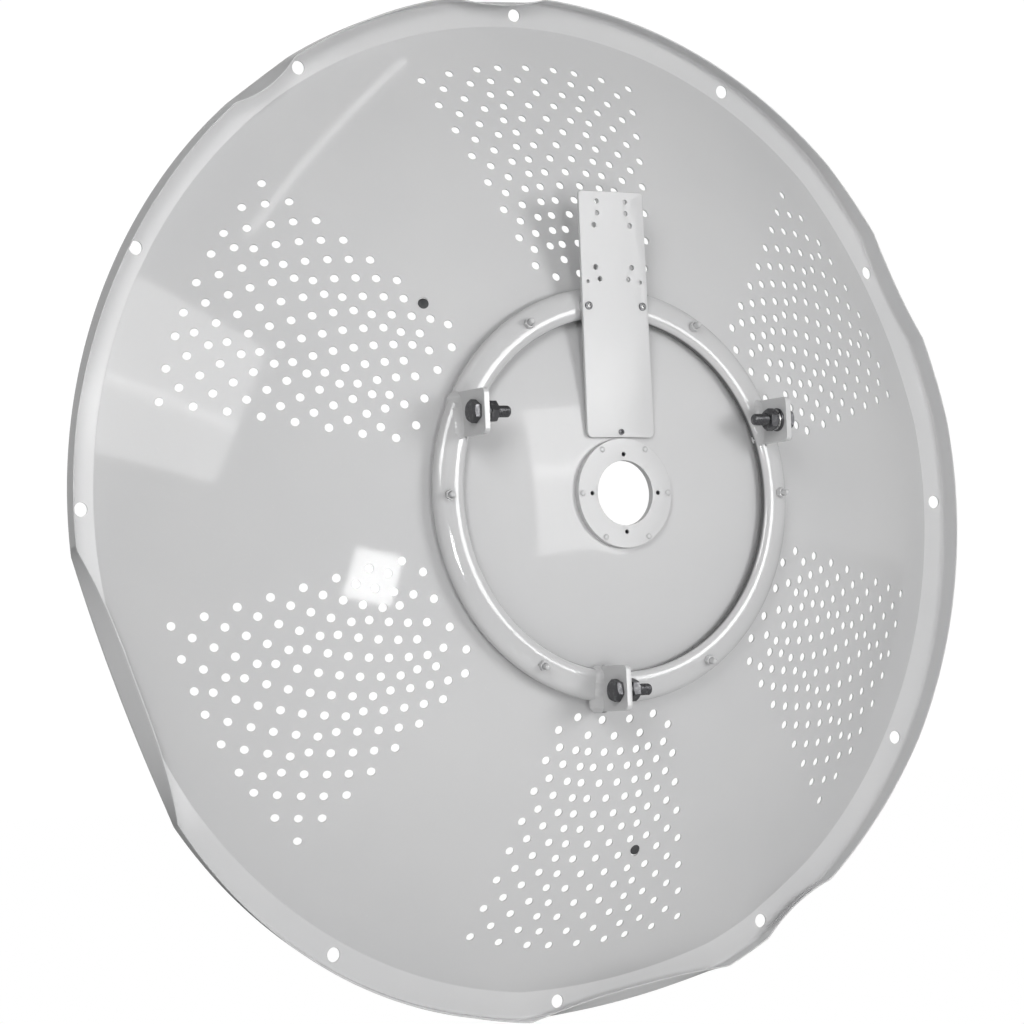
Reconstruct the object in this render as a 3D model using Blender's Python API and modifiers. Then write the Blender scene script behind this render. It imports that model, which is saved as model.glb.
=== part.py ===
"""Parabolic reflector of a microwave dish antenna, made to be mounted from its convex back.

Metres, +Z up. The dish axis runs along Y: the convex back faces -Y and the beam leaves towards +Y.
Sizes are given around the dish axis, with depths counted back from the rim flange.
The origin lies on the bottom lug's bolted face, on the side of its nut.
"""

import math

import bmesh
import bpy
from mathutils import Matrix, Vector

MM = 0.001

# Reflector sheet: a paraboloid with a flat hub seat, a flat flange and a lip turned back at its edge.
SHEET = 1.25 * MM
VERTEX_DEPTH = 143.9 * MM
CORNER_R = 424.3 * MM
ROOT_R = 447.3 * MM
LIP_R = 448.8 * MM
LIP_HEIGHT = 17.0 * MM
LIP_BEND = 2.0 * MM
SEAT_R = 50.0 * MM
SEAT_HOLE_R = 28.0 * MM
# Rings of points on the bowl between its edge and the hub seat.
BOWL_RADII = (
    380.0 * MM,
    340.0 * MM,
    306.5 * MM,
    268.0 * MM,
    230.1 * MM,
    195.7 * MM,
    161.3 * MM,
    106.0 * MM,
)
TURNS = 96
CURVE = VERTEX_DEPTH / CORNER_R ** 2
SEAT_DEPTH = VERTEX_DEPTH - CURVE * SEAT_R ** 2

# The rim has sagged about 1 mm towards its lower right, and its edge is bent in at several places.
RIM_SAG = 1.0 * MM
RIM_SAG_ANGLE = 345.0
BOWL_STILL_R = 340.0 * MM
# Each dent: centre and half width in degrees, then how far it pushes in the bowl's edge, the lip's root
# and the lip's free edge.
DENTS = (
    (27.0, 7.0, 0.0, 6.4 * MM, 5.8 * MM),
    (27.0, 17.0, 4.0 * MM, 5.0 * MM, 3.5 * MM),
    (62.0, 32.0, 0.0, 0.0, 3.9 * MM),
    (93.0, 6.0, 0.0, 1.5 * MM, 8.6 * MM),
    (125.5, 4.6, 0.0, 1.0 * MM, 7.8 * MM),
    (135.0, 35.0, 0.0, 0.0, 3.4 * MM),
    (200.5, 15.5, 1.0 * MM, 12.0 * MM, 0.0),
    (200.0, 15.8, 0.0, 0.0, 22.8 * MM),
    (236.0, 22.0, 0.0, -1.6 * MM, -4.0 * MM),
    (278.8, 13.5, 4.0 * MM, 5.6 * MM, 19.0 * MM),
    (304.2, 5.5, 1.0 * MM, 2.5 * MM, 7.3 * MM),
    (306.0, 25.0, 0.0, 0.0, 3.5 * MM),
)

# Round holes in the flange, one every 30 degrees.
RIM_HOLES = 12
RIM_HOLE_R = 6.0 * MM

# Six perforated fields lie between plain bands. Their fine round holes are too many for a solid, so coarse
# openings of the same total area stand for them, in staggered rows over the same fields.
PERFORATIONS = 766
PERFORATION_R = 3.75 * MM
FIELDS = 6
FIELD_START = 30.0
FIELD_TWIST = 0.6
FIELD_INNER_R = 191.0 * MM
FIELD_OUTER_R = 383.5 * MM
FIELD_ROWS = 6
ROW_OPENINGS = 5
OPENING_STEP = 8.0
OPENING_SIDES = 6

# Two perforations of the reflector are closed by plugs. Each: radius and angle of its place.
PLUG_HOLE_R = 4.1 * MM
PLUG_R = 3.8 * MM
PLUG_HEAD_R = 4.6 * MM
PLUG_HEAD = 0.9 * MM
PLUG_TAIL = 4.0 * MM
PLUGS = {"plug_upper_left": (230.1 * MM, 134.9), "plug_lower_middle": (306.5 * MM, 278.1)}

# Backing ring: a tube pressed to a flat oval, lying on the slope of the dish.
RING_R = 163.3 * MM
RING_HALF_WIDTH = 13.5 * MM
RING_HALF_HEIGHT = 7.0 * MM
RING_GAP = 0.9 * MM
RING_SIDES = 14
RING_TURNS = 72
RING_SEAT_DEPTH = 136.5 * MM
RING_SEAT_WIDTH = 72.0 * MM

# Hub ring with four threaded holes and six rivets.
HUB_R = 46.5 * MM
HUB_BORE_R = 27.5 * MM
HUB_THICK = 5.3 * MM
HUB_HOLES = 4
HUB_HOLE_R = 2.3 * MM
HUB_HOLE_CIRCLE = 32.8 * MM
RIVETS = 6
RIVET_CIRCLE = 42.7 * MM
RIVET_R = 2.6 * MM
RIVET_HEIGHT = 1.2 * MM

# Radio plate: a slightly tapered strip from the hub out past the ring.
PLATE_THICK = 3.0 * MM
PLATE_BOTTOM = 47.2 * MM
PLATE_TOP = 257.0 * MM
PLATE_BOTTOM_WIDTH = 67.0 * MM
PLATE_TOP_WIDTH = 64.0 * MM
PLATE_BOTTOM_CORNER = 5.0 * MM
PLATE_TOP_CORNER = 3.0 * MM
# Each pair of plate holes: height above the axis, distance from the middle and hole radius.
PLATE_HOLES = (
    (248.3 * MM, 14.25 * MM, 2.1 * MM),
    (238.3 * MM, 14.3 * MM, 2.1 * MM),
    (228.0 * MM, 18.0 * MM, 2.3 * MM),
    (192.1 * MM, 18.0 * MM, 2.3 * MM),
    (182.0 * MM, 14.2 * MM, 2.1 * MM),
    (179.7 * MM, 26.3 * MM, 1.5 * MM),
)
RING_SCREW_X = 26.9 * MM
RING_SCREW_Z = 159.0 * MM
RING_SCREW_R = 2.0 * MM
RING_SCREW_HEAD_R = 3.4 * MM
FOOT_SCREW_Z = 51.9 * MM
FOOT_SCREW_R = 1.5 * MM
FOOT_SCREW_HEAD_R = 2.6 * MM
SCREW_HEAD = 2.2 * MM
SPACER_R = 6.0 * MM

# Ring studs, one every 60 degrees, square to the dish.
STUDS = 6
STUD_R = 2.5 * MM
STUD_TIP = 4.0 * MM
STUD_NUT_FLATS = 8.0 * MM
STUD_NUT = 4.5 * MM

# Lugs: the middle of the plate, the height of its bolt, how far its foot reaches and the side of its nut.
LUG_THICK = 5.0 * MM
LUG_HEIGHT = 38.0 * MM
LUG_BACK = 178.4 * MM
LUG_CORNER = 6.0 * MM
LUG_HOLE_R = 5.5 * MM
LUGS = {
    "left": (-150.0 * MM, 66.5 * MM, 66.7 * MM, 132.5 * MM, 1.0),
    "right": (150.0 * MM, 61.0 * MM, 61.0 * MM, 132.5 * MM, -1.0),
    "bottom": (-24.5 * MM, -164.5 * MM, -166.4 * MM, 135.4 * MM, 1.0),
}
BOLT_DEPTH = 165.5 * MM
BOLT_R = 5.0 * MM
BOLT_LENGTH = 30.5 * MM
BOLT_FLATS = 17.0 * MM
BOLT_HEAD = 6.4 * MM
BOLT_NUT = 8.0 * MM
WASHER_R = 10.0 * MM
WASHER = 1.8 * MM
SPRING_WASHER_R = 8.8 * MM
SPRING_WASHER = 2.0 * MM
SPRING_WASHER_SLIT = 1.0 * MM

# Clearance kept between neighbours that touch.
FIT = 0.3 * MM

# The bolted faces of a lug are the flat strip between the ring and the washer.
STRIP_FRONT = 141.0 * MM
STRIP_BACK = 154.5 * MM

# The origin lies in the bottom lug's strip, a little above its middle.
ORIGIN_DEPTH = 147.5 * MM
ORIGIN_RISE = 6.0 * MM
ORIGIN = Vector((LUGS["bottom"][0] + LUG_THICK / 2, -ORIGIN_DEPTH, LUGS["bottom"][1] + ORIGIN_RISE))

PAINT = (0.60, 0.61, 0.61, 1.0)
DARK_ZINC = (0.055, 0.055, 0.058, 1.0)
BLACK_PLASTIC = (0.03, 0.03, 0.032, 1.0)


def clear_scene():
    """Remove the objects that a new file starts with."""
    for thing in list(bpy.data.objects):
        bpy.data.objects.remove(thing, do_unlink=True)


def new_collection(name):
    group = bpy.data.collections.new(name)
    bpy.context.scene.collection.children.link(group)
    return group


def principled(name, colour, roughness, metallic):
    material = bpy.data.materials.new(name)
    material.use_nodes = True
    shader = material.node_tree.nodes["Principled BSDF"]
    shader.inputs["Base Color"].default_value = colour
    shader.inputs["Roughness"].default_value = roughness
    shader.inputs["Metallic"].default_value = metallic
    material.diffuse_color = colour
    return material


def light_paint(name):
    return principled(name + "_paint", PAINT, 0.3, 0.0)


def dark_zinc(name):
    return principled(name + "_zinc", DARK_ZINC, 0.45, 0.8)


def black_plastic(name):
    return principled(name + "_plastic", BLACK_PLASTIC, 0.5, 0.0)


clear_scene()
PARTS = new_collection("microwave_dish_antenna")
CUTTERS = new_collection("cutters")


def add_part(name, mesh, material, place):
    """One sub-part, placed around the dish axis."""
    part = bpy.data.objects.new(name, mesh)
    PARTS.objects.link(part)
    mesh.materials.clear()
    mesh.materials.append(material)
    mesh.shade_smooth()
    mesh.set_sharp_from_angle(angle=math.radians(35.0))
    part.matrix_world = Matrix.Translation(-ORIGIN) @ place
    return part


def add_cutter(name, mesh, place):
    cutter = bpy.data.objects.new(name, mesh)
    CUTTERS.objects.link(cutter)
    cutter.hide_render = True
    cutter.display_type = "WIRE"
    cutter.matrix_world = Matrix.Translation(-ORIGIN) @ place
    return cutter


def combine(part, cutter, operation="DIFFERENCE"):
    step = part.modifiers.new(operation.lower() + "_" + cutter.name, "BOOLEAN")
    step.operation = operation
    step.solver = "EXACT"
    step.object = cutter


def facing_back():
    """Turns a shape built up along Z so that it stands out of the dish's back."""
    return Matrix.Rotation(math.radians(90.0), 4, "X")


def at_back(x, z, depth):
    """Places a shape built up along Z at a depth behind the flange."""
    return Matrix.Translation((x, -depth, z)) @ facing_back()


def along_x(x, z, depth, side):
    """Places a shape built up along Z so that it points to +X or -X."""
    turn = Matrix.Rotation(math.radians(90.0 * side), 4, "Y")
    return Matrix.Translation((x, -depth, z)) @ turn


def edit(mesh, change):
    """Runs one change on a mesh through bmesh."""
    work = bmesh.new()
    work.from_mesh(mesh)
    change(work)
    work.to_mesh(mesh)
    work.free()
    return mesh


def face_outwards(work):
    bmesh.ops.recalc_face_normals(work, faces=work.faces)


def turned_mesh(name, profile, turns, closed=False):
    """A mesh turned about Z by a Screw modifier, from pairs of radius and height."""
    mesh = bpy.data.meshes.new(name + "_profile")
    edges = [(index, index + 1) for index in range(len(profile) - 1)]
    if closed:
        edges.append((len(profile) - 1, 0))
    mesh.from_pydata([(radius, 0.0, height) for radius, height in profile], edges, [])
    outline = bpy.data.objects.new(name + "_profile", mesh)
    bpy.context.scene.collection.objects.link(outline)
    screw = outline.modifiers.new("turn", "SCREW")
    screw.axis = "Z"
    screw.angle = math.tau
    screw.steps = turns
    screw.render_steps = turns
    screw.use_merge_vertices = True
    screw.merge_threshold = 0.00005
    screw.use_normal_calculate = True
    graph = bpy.context.evaluated_depsgraph_get()
    turned = bpy.data.meshes.new_from_object(outline.evaluated_get(graph))
    bpy.data.objects.remove(outline, do_unlink=True)
    bpy.data.meshes.remove(mesh)
    turned.name = name
    return edit(turned, face_outwards)


def prism_mesh(name, radius, low, high, sides, turn=0.0):
    """A cylinder or hexagon between two heights of Z."""
    mesh = bpy.data.meshes.new(name)
    place = Matrix.Translation((0.0, 0.0, (low + high) / 2)) @ Matrix.Rotation(turn, 4, "Z")
    sizes = {"radius1": radius, "radius2": radius, "depth": high - low}

    def build(work):
        bmesh.ops.create_cone(work, cap_ends=True, segments=sides, matrix=place, **sizes)

    return edit(mesh, build)


def box_mesh(name, size):
    mesh = bpy.data.meshes.new(name)

    def build(work):
        bmesh.ops.create_cube(work, size=1.0, matrix=Matrix.Diagonal((*size, 1.0)))

    return edit(mesh, build)


def ring_mesh(name, outer, inner, height, turns):
    """A flat ring standing on Z = 0, turned from its cross-section."""
    profile = [(outer, height), (outer, 0.0), (inner, 0.0), (inner, height)]
    return turned_mesh(name, profile, turns, closed=True)


def round_cutter(name, radius, length, place, sides=12):
    """A round cutter that reaches half its length to each side of its place."""
    return add_cutter(name, prism_mesh(name, radius, -length / 2, length / 2, sides), place)


def hexagon_radius(flats):
    return flats / math.sqrt(3.0)


def dish_depth(radius):
    """Depth of the back surface behind the flange at a radius."""
    return VERTEX_DEPTH - CURVE * max(radius, SEAT_R) ** 2


def dish_tilt(radius):
    """Angle between the back surface's normal and the dish axis."""
    return math.atan(2.0 * CURVE * radius)


def polar(radius, angle):
    return radius * math.cos(math.radians(angle)), radius * math.sin(math.radians(angle))


def dent_push(angle, column):
    """Sum of the dents at an angle. Column 0 is the bowl's edge, 1 the lip's root and 2 its free edge."""
    total = 0.0
    for centre, half_width, *pushes in DENTS:
        share = abs((angle - centre + 180.0) % 360.0 - 180.0) / half_width
        if share < 1.0:
            total += pushes[column] * (1.0 - share * share)
    return total


def rim_shift(angle, radius, height):
    """How far a point of the sheet has moved out from its true circle."""
    if radius <= BOWL_STILL_R:
        return 0.0
    sag = RIM_SAG * math.cos(math.radians(angle - RIM_SAG_ANGLE))
    edge, root, lip = (sag - dent_push(angle, column) for column in range(3))
    if radius <= CORNER_R:
        return edge * ((radius - BOWL_STILL_R) / (CORNER_R - BOWL_STILL_R)) ** 2
    across = min((radius - CORNER_R) / (ROOT_R - CORNER_R), 1.0)
    up = min(max(height / LIP_HEIGHT, 0.0), 1.0)
    return (edge + (root - edge) * across) * (1.0 - up) + lip * up


def flange_middle(angle):
    """Radius of the middle of the flange at an angle, where its hole sits."""
    inner = CORNER_R + rim_shift(angle, CORNER_R, 0.0)
    outer = ROOT_R + rim_shift(angle, ROOT_R, 0.0)
    return (inner + outer) / 2


def on_slope(radius, angle, tilt, lift=0.0):
    """A place on the dish's back, leaning outwards by a tilt and lifted off along its own Z."""
    x, z = polar(radius, angle)
    turn = Matrix.Rotation(math.radians(angle), 4, "Z") @ Matrix.Rotation(tilt, 4, "Y")
    spot = Matrix.Translation((x, z, dish_depth(radius))) @ turn
    return facing_back() @ spot @ Matrix.Translation((0.0, 0.0, lift))


def reflector_profile():
    """The back surface, from the lip's free edge down to the hub hole."""
    lip = [
        (LIP_R, LIP_HEIGHT),
        (ROOT_R, LIP_BEND),
        (ROOT_R - LIP_BEND, 0.0),
    ]
    bowl = [(radius, dish_depth(radius)) for radius in (CORNER_R, *BOWL_RADII, SEAT_R)]
    return lip + bowl + [(SEAT_HOLE_R, SEAT_DEPTH)]


def bend_rim(work):
    """Moves the rim's points by the sag and the dents, and turns all faces to the back."""
    for vertex in work.verts:
        radius = vertex.co.xy.length
        angle = math.degrees(math.atan2(vertex.co.y, vertex.co.x)) % 360.0
        vertex.co.xy *= 1.0 + rim_shift(angle, radius, vertex.co.z) / radius
    innermost = min(work.faces, key=lambda face: face.calc_center_median().xy.length)
    if innermost.normal.z < 0.0:
        bmesh.ops.reverse_faces(work, faces=work.faces)


def opening_places():
    """Radius and angle of each coarse opening. Every other row is one shorter, and none comes near a plug."""
    places = []
    for field in range(FIELDS):
        middle = FIELD_START + FIELD_TWIST + field * 360.0 / FIELDS
        for row in range(FIELD_ROWS):
            radius = FIELD_OUTER_R - row * (FIELD_OUTER_R - FIELD_INNER_R) / (FIELD_ROWS - 1)
            count = ROW_OPENINGS - row % 2
            for column in range(count):
                angle = middle + (column - (count - 1) / 2) * OPENING_STEP
                gaps = [math.dist(polar(radius, angle), polar(*plug)) for plug in PLUGS.values()]
                if min(gaps) > 4 * PLUG_HEAD_R:
                    places.append((radius, angle))
    return places


def openings_mesh(name):
    """All coarse openings as prisms square to the sheet, with the perforations' total area."""
    places = opening_places()
    area = PERFORATIONS * math.pi * PERFORATION_R ** 2 / len(places)
    corner_r = math.sqrt(2.0 * area / (OPENING_SIDES * math.sin(math.tau / OPENING_SIDES)))
    sizes = {"radius1": corner_r, "radius2": corner_r, "depth": 20 * MM}
    mesh = bpy.data.meshes.new(name)

    def build(work):
        for radius, angle in places:
            spot = on_slope(radius, angle, dish_tilt(radius))
            bmesh.ops.create_cone(work, cap_ends=True, segments=OPENING_SIDES, matrix=spot, **sizes)

    return edit(mesh, build)


def make_reflector():
    """The one-piece sheet: its back surface thickened towards the front, then cut."""
    mesh = edit(turned_mesh("reflector_dish", reflector_profile(), TURNS), bend_rim)
    dish = add_part("reflector_dish", mesh, light_paint("reflector_dish"), facing_back())
    sheet = dish.modifiers.new("sheet", "SOLIDIFY")
    sheet.thickness = SHEET
    sheet.offset = -1.0
    sheet.use_even_offset = True
    for index in range(RIM_HOLES):
        angle = index * 360.0 / RIM_HOLES
        place = at_back(*polar(flange_middle(angle), angle), 0.0)
        combine(dish, round_cutter("rim_hole_%02d" % index, RIM_HOLE_R, 12 * MM, place))
    for name, (radius, angle) in PLUGS.items():
        place = on_slope(radius, angle, dish_tilt(radius))
        combine(dish, round_cutter(name + "_hole", PLUG_HOLE_R, 20 * MM, place))
    place = at_back(0.0, FOOT_SCREW_Z, SEAT_DEPTH)
    combine(dish, round_cutter("foot_screw_hole", FOOT_SCREW_R + FIT, 20 * MM, place))
    combine(dish, add_cutter("field_openings", openings_mesh("field_openings"), Matrix.Identity(4)))


def make_plugs():
    """Snap-in plugs with a thin head on the back."""
    profile = [
        (0.0, PLUG_HEAD),
        (PLUG_HEAD_R * 0.85, PLUG_HEAD),
        (PLUG_HEAD_R, PLUG_HEAD * 0.4),
        (PLUG_HEAD_R, 0.0),
        (PLUG_R, 0.0),
        (PLUG_R, -PLUG_TAIL),
        (0.0, -PLUG_TAIL),
    ]
    for name, (radius, angle) in PLUGS.items():
        place = on_slope(radius, angle, dish_tilt(radius), lift=FIT)
        add_part(name, turned_mesh(name, profile, 12), black_plastic(name), place)


def ring_middle():
    """Depth of the middle of the ring's oval section, and the lean of the section."""
    tilt = dish_tilt(RING_R)
    return dish_depth(RING_R) + (RING_HALF_HEIGHT + RING_GAP) / math.cos(tilt), tilt


def ring_section(grow):
    """The oval cross-section as pairs of radius and height, in turning order."""
    depth, tilt = ring_middle()
    points = []
    for index in range(RING_SIDES):
        around = -math.tau * index / RING_SIDES
        across = (RING_HALF_WIDTH + grow) * math.cos(around)
        up = (RING_HALF_HEIGHT + grow) * math.sin(around)
        radius = RING_R + across * math.cos(tilt) + up * math.sin(tilt)
        points.append((radius, depth - across * math.sin(tilt) + up * math.cos(tilt)))
    return points


def crown_lift():
    """Height of the flat on top of the ring above the dish, along a stud."""
    return RING_GAP + RING_HALF_HEIGHT * (1.0 + math.cos(math.pi / RING_SIDES))


def stud_place(index, lift):
    """A place on a stud's line, which passes through the middle of the oval."""
    tilt = dish_tilt(RING_R)
    foot = RING_R - (RING_HALF_HEIGHT + RING_GAP) * math.sin(tilt)
    return on_slope(foot, index * 360.0 / STUDS, tilt, lift)


def make_ring():
    """The backing ring, drilled for its studs and pressed flat where the radio plate crosses it."""
    name = "backing_ring_tube"
    mesh = turned_mesh(name, ring_section(0.0), RING_TURNS, closed=True)
    half_step = Matrix.Rotation(math.pi / RING_TURNS, 4, "Z")
    ring = add_part(name, mesh, light_paint(name), facing_back() @ half_step)
    for index in range(STUDS):
        combine(ring, round_cutter("stud_hole_%d" % index, STUD_R + FIT, 60 * MM, stud_place(index, 0.0)))
    reach = 20 * MM
    seat = box_mesh("plate_seat", (RING_SEAT_WIDTH, reach, 60 * MM))
    place = Matrix.Translation((0.0, -RING_SEAT_DEPTH - reach / 2, RING_R))
    combine(ring, add_cutter("plate_seat", seat, place))
    for side in (-1, 1):
        place = at_back(side * RING_SCREW_X, RING_SCREW_Z, RING_SEAT_DEPTH)
        combine(ring, round_cutter("seat_hole_%d" % side, RING_SCREW_R + FIT, 60 * MM, place))


def make_hub():
    """The hub ring with its threaded holes, and the rivet heads on it."""
    mesh = ring_mesh("hub_ring", HUB_R, HUB_BORE_R, HUB_THICK, 64)
    hub = add_part("hub_ring", mesh, light_paint("hub_ring"), at_back(0.0, 0.0, SEAT_DEPTH + FIT))
    for index in range(HUB_HOLES):
        place = at_back(*polar(HUB_HOLE_CIRCLE, index * 360.0 / HUB_HOLES), SEAT_DEPTH)
        combine(hub, round_cutter("hub_hole_%d" % index, HUB_HOLE_R, 40 * MM, place))
    profile = [(0.0, RIVET_HEIGHT), (RIVET_R * 0.6, RIVET_HEIGHT * 0.85), (RIVET_R, 0.0), (0.0, 0.0)]
    for index in range(RIVETS):
        name = "hub_rivet_%d" % (index + 1)
        place = at_back(*polar(RIVET_CIRCLE, index * 360.0 / RIVETS), SEAT_DEPTH + HUB_THICK + 2 * FIT)
        add_part(name, turned_mesh(name, profile, 12), light_paint(name), place)


def plate_shape(work):
    """The tapered strip, its four upright edges rounded."""
    bmesh.ops.create_cube(work, size=1.0)
    for vertex in work.verts:
        top = vertex.co.z > 0.0
        vertex.co.x *= PLATE_TOP_WIDTH if top else PLATE_BOTTOM_WIDTH
        vertex.co.y *= PLATE_THICK
        vertex.co.z = PLATE_TOP if top else PLATE_BOTTOM
    for height, radius in ((PLATE_TOP, PLATE_TOP_CORNER), (PLATE_BOTTOM, PLATE_BOTTOM_CORNER)):
        upright = [
            edge
            for edge in work.edges
            if all(abs(vertex.co.z - height) < 0.1 * MM for vertex in edge.verts)
            and abs(edge.verts[0].co.x - edge.verts[1].co.x) < 0.1 * MM
        ]
        bmesh.ops.bevel(work, geom=upright, offset=radius, segments=4, profile=0.5, affect="EDGES")


def make_plate():
    """The radio plate with its paired holes and screw holes."""
    mesh = edit(bpy.data.meshes.new("radio_plate"), plate_shape)
    back = SEAT_DEPTH + FIT
    place = Matrix.Translation((0.0, -back - PLATE_THICK / 2, 0.0))
    plate = add_part("radio_plate", mesh, light_paint("radio_plate"), place)
    holes = [(side * x, z, radius) for z, x, radius in PLATE_HOLES for side in (-1, 1)]
    holes += [(side * RING_SCREW_X, RING_SCREW_Z, RING_SCREW_R + FIT) for side in (-1, 1)]
    holes.append((0.0, FOOT_SCREW_Z, FOOT_SCREW_R + FIT))
    for index, (x, z, radius) in enumerate(holes):
        combine(plate, round_cutter("plate_hole_%02d" % index, radius, 30 * MM, at_back(x, z, back)))


def add_socket_screw(name, x, z, shank_r, head_r, reach):
    """A socket head screw through the radio plate, reaching in front of the plate's rear face."""
    socket = head_r * 0.45
    tip = -PLATE_THICK - FIT - reach
    profile = [
        (0.0, SCREW_HEAD * 0.4),
        (socket, SCREW_HEAD * 0.4),
        (socket, SCREW_HEAD),
        (head_r * 0.85, SCREW_HEAD),
        (head_r, SCREW_HEAD * 0.7),
        (head_r, 0.0),
        (shank_r, 0.0),
        (shank_r, tip),
        (0.0, tip),
    ]
    place = at_back(x, z, SEAT_DEPTH + PLATE_THICK + 2 * FIT)
    add_part(name, turned_mesh(name, profile, 12), dark_zinc(name), place)


def make_plate_screws():
    """Two screws down into the ring through round spacers, and one into the dish at the plate's foot."""
    spacer = SEAT_DEPTH - RING_SEAT_DEPTH - FIT
    for side, sign in (("left", -1), ("right", 1)):
        x = sign * RING_SCREW_X
        name = "plate_screw_" + side
        add_socket_screw(name, x, RING_SCREW_Z, RING_SCREW_R, RING_SCREW_HEAD_R, spacer + 8 * MM)
        name = "plate_spacer_" + side
        mesh = ring_mesh(name, SPACER_R, RING_SCREW_R + FIT, spacer, 16)
        add_part(name, mesh, light_paint(name), at_back(x, RING_SCREW_Z, RING_SEAT_DEPTH + FIT))
    add_socket_screw("plate_screw_foot", 0.0, FOOT_SCREW_Z, FOOT_SCREW_R, FOOT_SCREW_HEAD_R, 6 * MM)


def make_ring_studs():
    """Round-tipped studs through the ring, each with a small nut on top."""
    crown = crown_lift()
    length = crown + FIT + STUD_NUT + STUD_TIP
    profile = [
        (0.0, length),
        (STUD_R * 0.6, length - STUD_R * 0.2),
        (STUD_R, length - STUD_R * 0.8),
        (STUD_R, FIT),
        (0.0, FIT),
    ]
    for index in range(STUDS):
        name = "ring_stud_%d" % (index + 1)
        add_part(name, turned_mesh(name, profile, 12), light_paint(name), stud_place(index, 0.0))
        name = "ring_nut_%d" % (index + 1)
        add_nut(name, STUD_NUT_FLATS, STUD_R, STUD_NUT, light_paint(name), stud_place(index, crown + FIT))


def add_nut(name, flats, shank_r, height, material, place):
    """A hexagon nut standing on its place, its bore clear of the shank."""
    mesh = prism_mesh(name, hexagon_radius(flats), 0.0, height, 6, math.radians(30.0))
    nut = add_part(name, mesh, material, place)
    combine(nut, round_cutter(name + "_bore", shank_r + FIT, 4 * height, place))


def lug_shape(foot):
    """A plate on edge, square to X, with its two back corners rounded and its flat strip marked off."""
    depth = LUG_BACK - foot
    middle = (LUG_BACK + foot) / 2

    def build(work):
        bmesh.ops.create_cube(work, size=1.0, matrix=Matrix.Diagonal((LUG_THICK, depth, LUG_HEIGHT, 1.0)))
        back = [
            edge
            for edge in work.edges
            if all(vertex.co.y < 0.0 for vertex in edge.verts)
            and abs(edge.verts[0].co.x - edge.verts[1].co.x) > LUG_THICK / 2
        ]
        bmesh.ops.bevel(work, geom=back, offset=LUG_CORNER, segments=5, profile=0.5, affect="EDGES")
        for edge_depth in (STRIP_FRONT, STRIP_BACK):
            everything = [*work.verts, *work.edges, *work.faces]
            line = (0.0, middle - edge_depth, 0.0)
            bmesh.ops.bisect_plane(
                work, geom=everything, dist=0.01 * MM, plane_co=line, plane_no=(0.0, 1.0, 0.0)
            )

    return build


def make_lug(side, x, z, bolt_z, foot):
    """One lug, its foot fitted over the ring and its hole drilled for the bolt."""
    name = "lug_" + side
    mesh = edit(bpy.data.meshes.new(name), lug_shape(foot))
    lug = add_part(name, mesh, light_paint(name), Matrix.Translation((x, -(LUG_BACK + foot) / 2, z)))
    combine(lug, round_cutter(name + "_hole", LUG_HOLE_R, 40 * MM, along_x(x, bolt_z, BOLT_DEPTH, 1.0), 16))
    saddle = turned_mesh(name + "_saddle", ring_section(FIT), RING_TURNS, closed=True)
    combine(lug, add_cutter(name + "_saddle", saddle, facing_back()))


def make_lug_bolt(side, x, bolt_z, nut_side):
    """A hexagon bolt through the lug with flat washer, split washer and nut on the nut side."""
    head_face = x - nut_side * (LUG_THICK / 2 + FIT)
    place = along_x(head_face, bolt_z, BOLT_DEPTH, -nut_side)
    name = "lug_bolt_" + side
    mesh = prism_mesh(name, hexagon_radius(BOLT_FLATS), 0.0, BOLT_HEAD, 6, math.radians(30.0))
    bolt = add_part(name, mesh, dark_zinc(name), place)
    shank = prism_mesh(name + "_shank", BOLT_R, -BOLT_LENGTH, BOLT_HEAD / 2, 16)
    combine(bolt, add_cutter(name + "_shank", shank, place), "UNION")

    reach = LUG_THICK / 2 + FIT
    name = "lug_washer_" + side
    mesh = ring_mesh(name, WASHER_R, BOLT_R + FIT, WASHER, 24)
    add_part(name, mesh, dark_zinc(name), along_x(x + nut_side * reach, bolt_z, BOLT_DEPTH, nut_side))

    reach += WASHER + FIT
    name = "lug_spring_washer_" + side
    mesh = ring_mesh(name, SPRING_WASHER_R, BOLT_R + FIT, SPRING_WASHER, 20)
    place = along_x(x + nut_side * reach, bolt_z, BOLT_DEPTH, nut_side)
    washer = add_part(name, mesh, dark_zinc(name), place)
    slit = box_mesh(name + "_slit", (WASHER_R, SPRING_WASHER_SLIT, 4 * SPRING_WASHER))
    lean = Matrix.Rotation(math.radians(25.0), 4, "X")
    middle = Matrix.Translation((SPRING_WASHER_R, 0.0, SPRING_WASHER / 2))
    combine(washer, add_cutter(name + "_slit", slit, place @ middle @ lean))

    reach += SPRING_WASHER + FIT
    name = "lug_nut_" + side
    place = along_x(x + nut_side * reach, bolt_z, BOLT_DEPTH, nut_side)
    add_nut(name, BOLT_FLATS, BOLT_R, BOLT_NUT, dark_zinc(name), place)


make_reflector()
make_plugs()
make_ring()
make_ring_studs()
make_hub()
make_plate()
make_plate_screws()
for lug_side, (lug_x, lug_z, lug_bolt_z, lug_foot, lug_nut_side) in LUGS.items():
    make_lug(lug_side, lug_x, lug_z, lug_bolt_z, lug_foot)
    make_lug_bolt(lug_side, lug_x, lug_bolt_z, lug_nut_side)
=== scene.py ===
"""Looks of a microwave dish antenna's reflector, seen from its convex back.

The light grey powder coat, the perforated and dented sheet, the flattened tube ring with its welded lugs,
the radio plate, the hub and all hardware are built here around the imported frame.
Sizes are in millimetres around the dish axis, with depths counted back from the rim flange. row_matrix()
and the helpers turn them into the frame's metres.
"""

import math

import bpy
import numpy as np
from mathutils import Matrix, Vector
from mathutils.geometry import delaunay_2d_cdt


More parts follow.
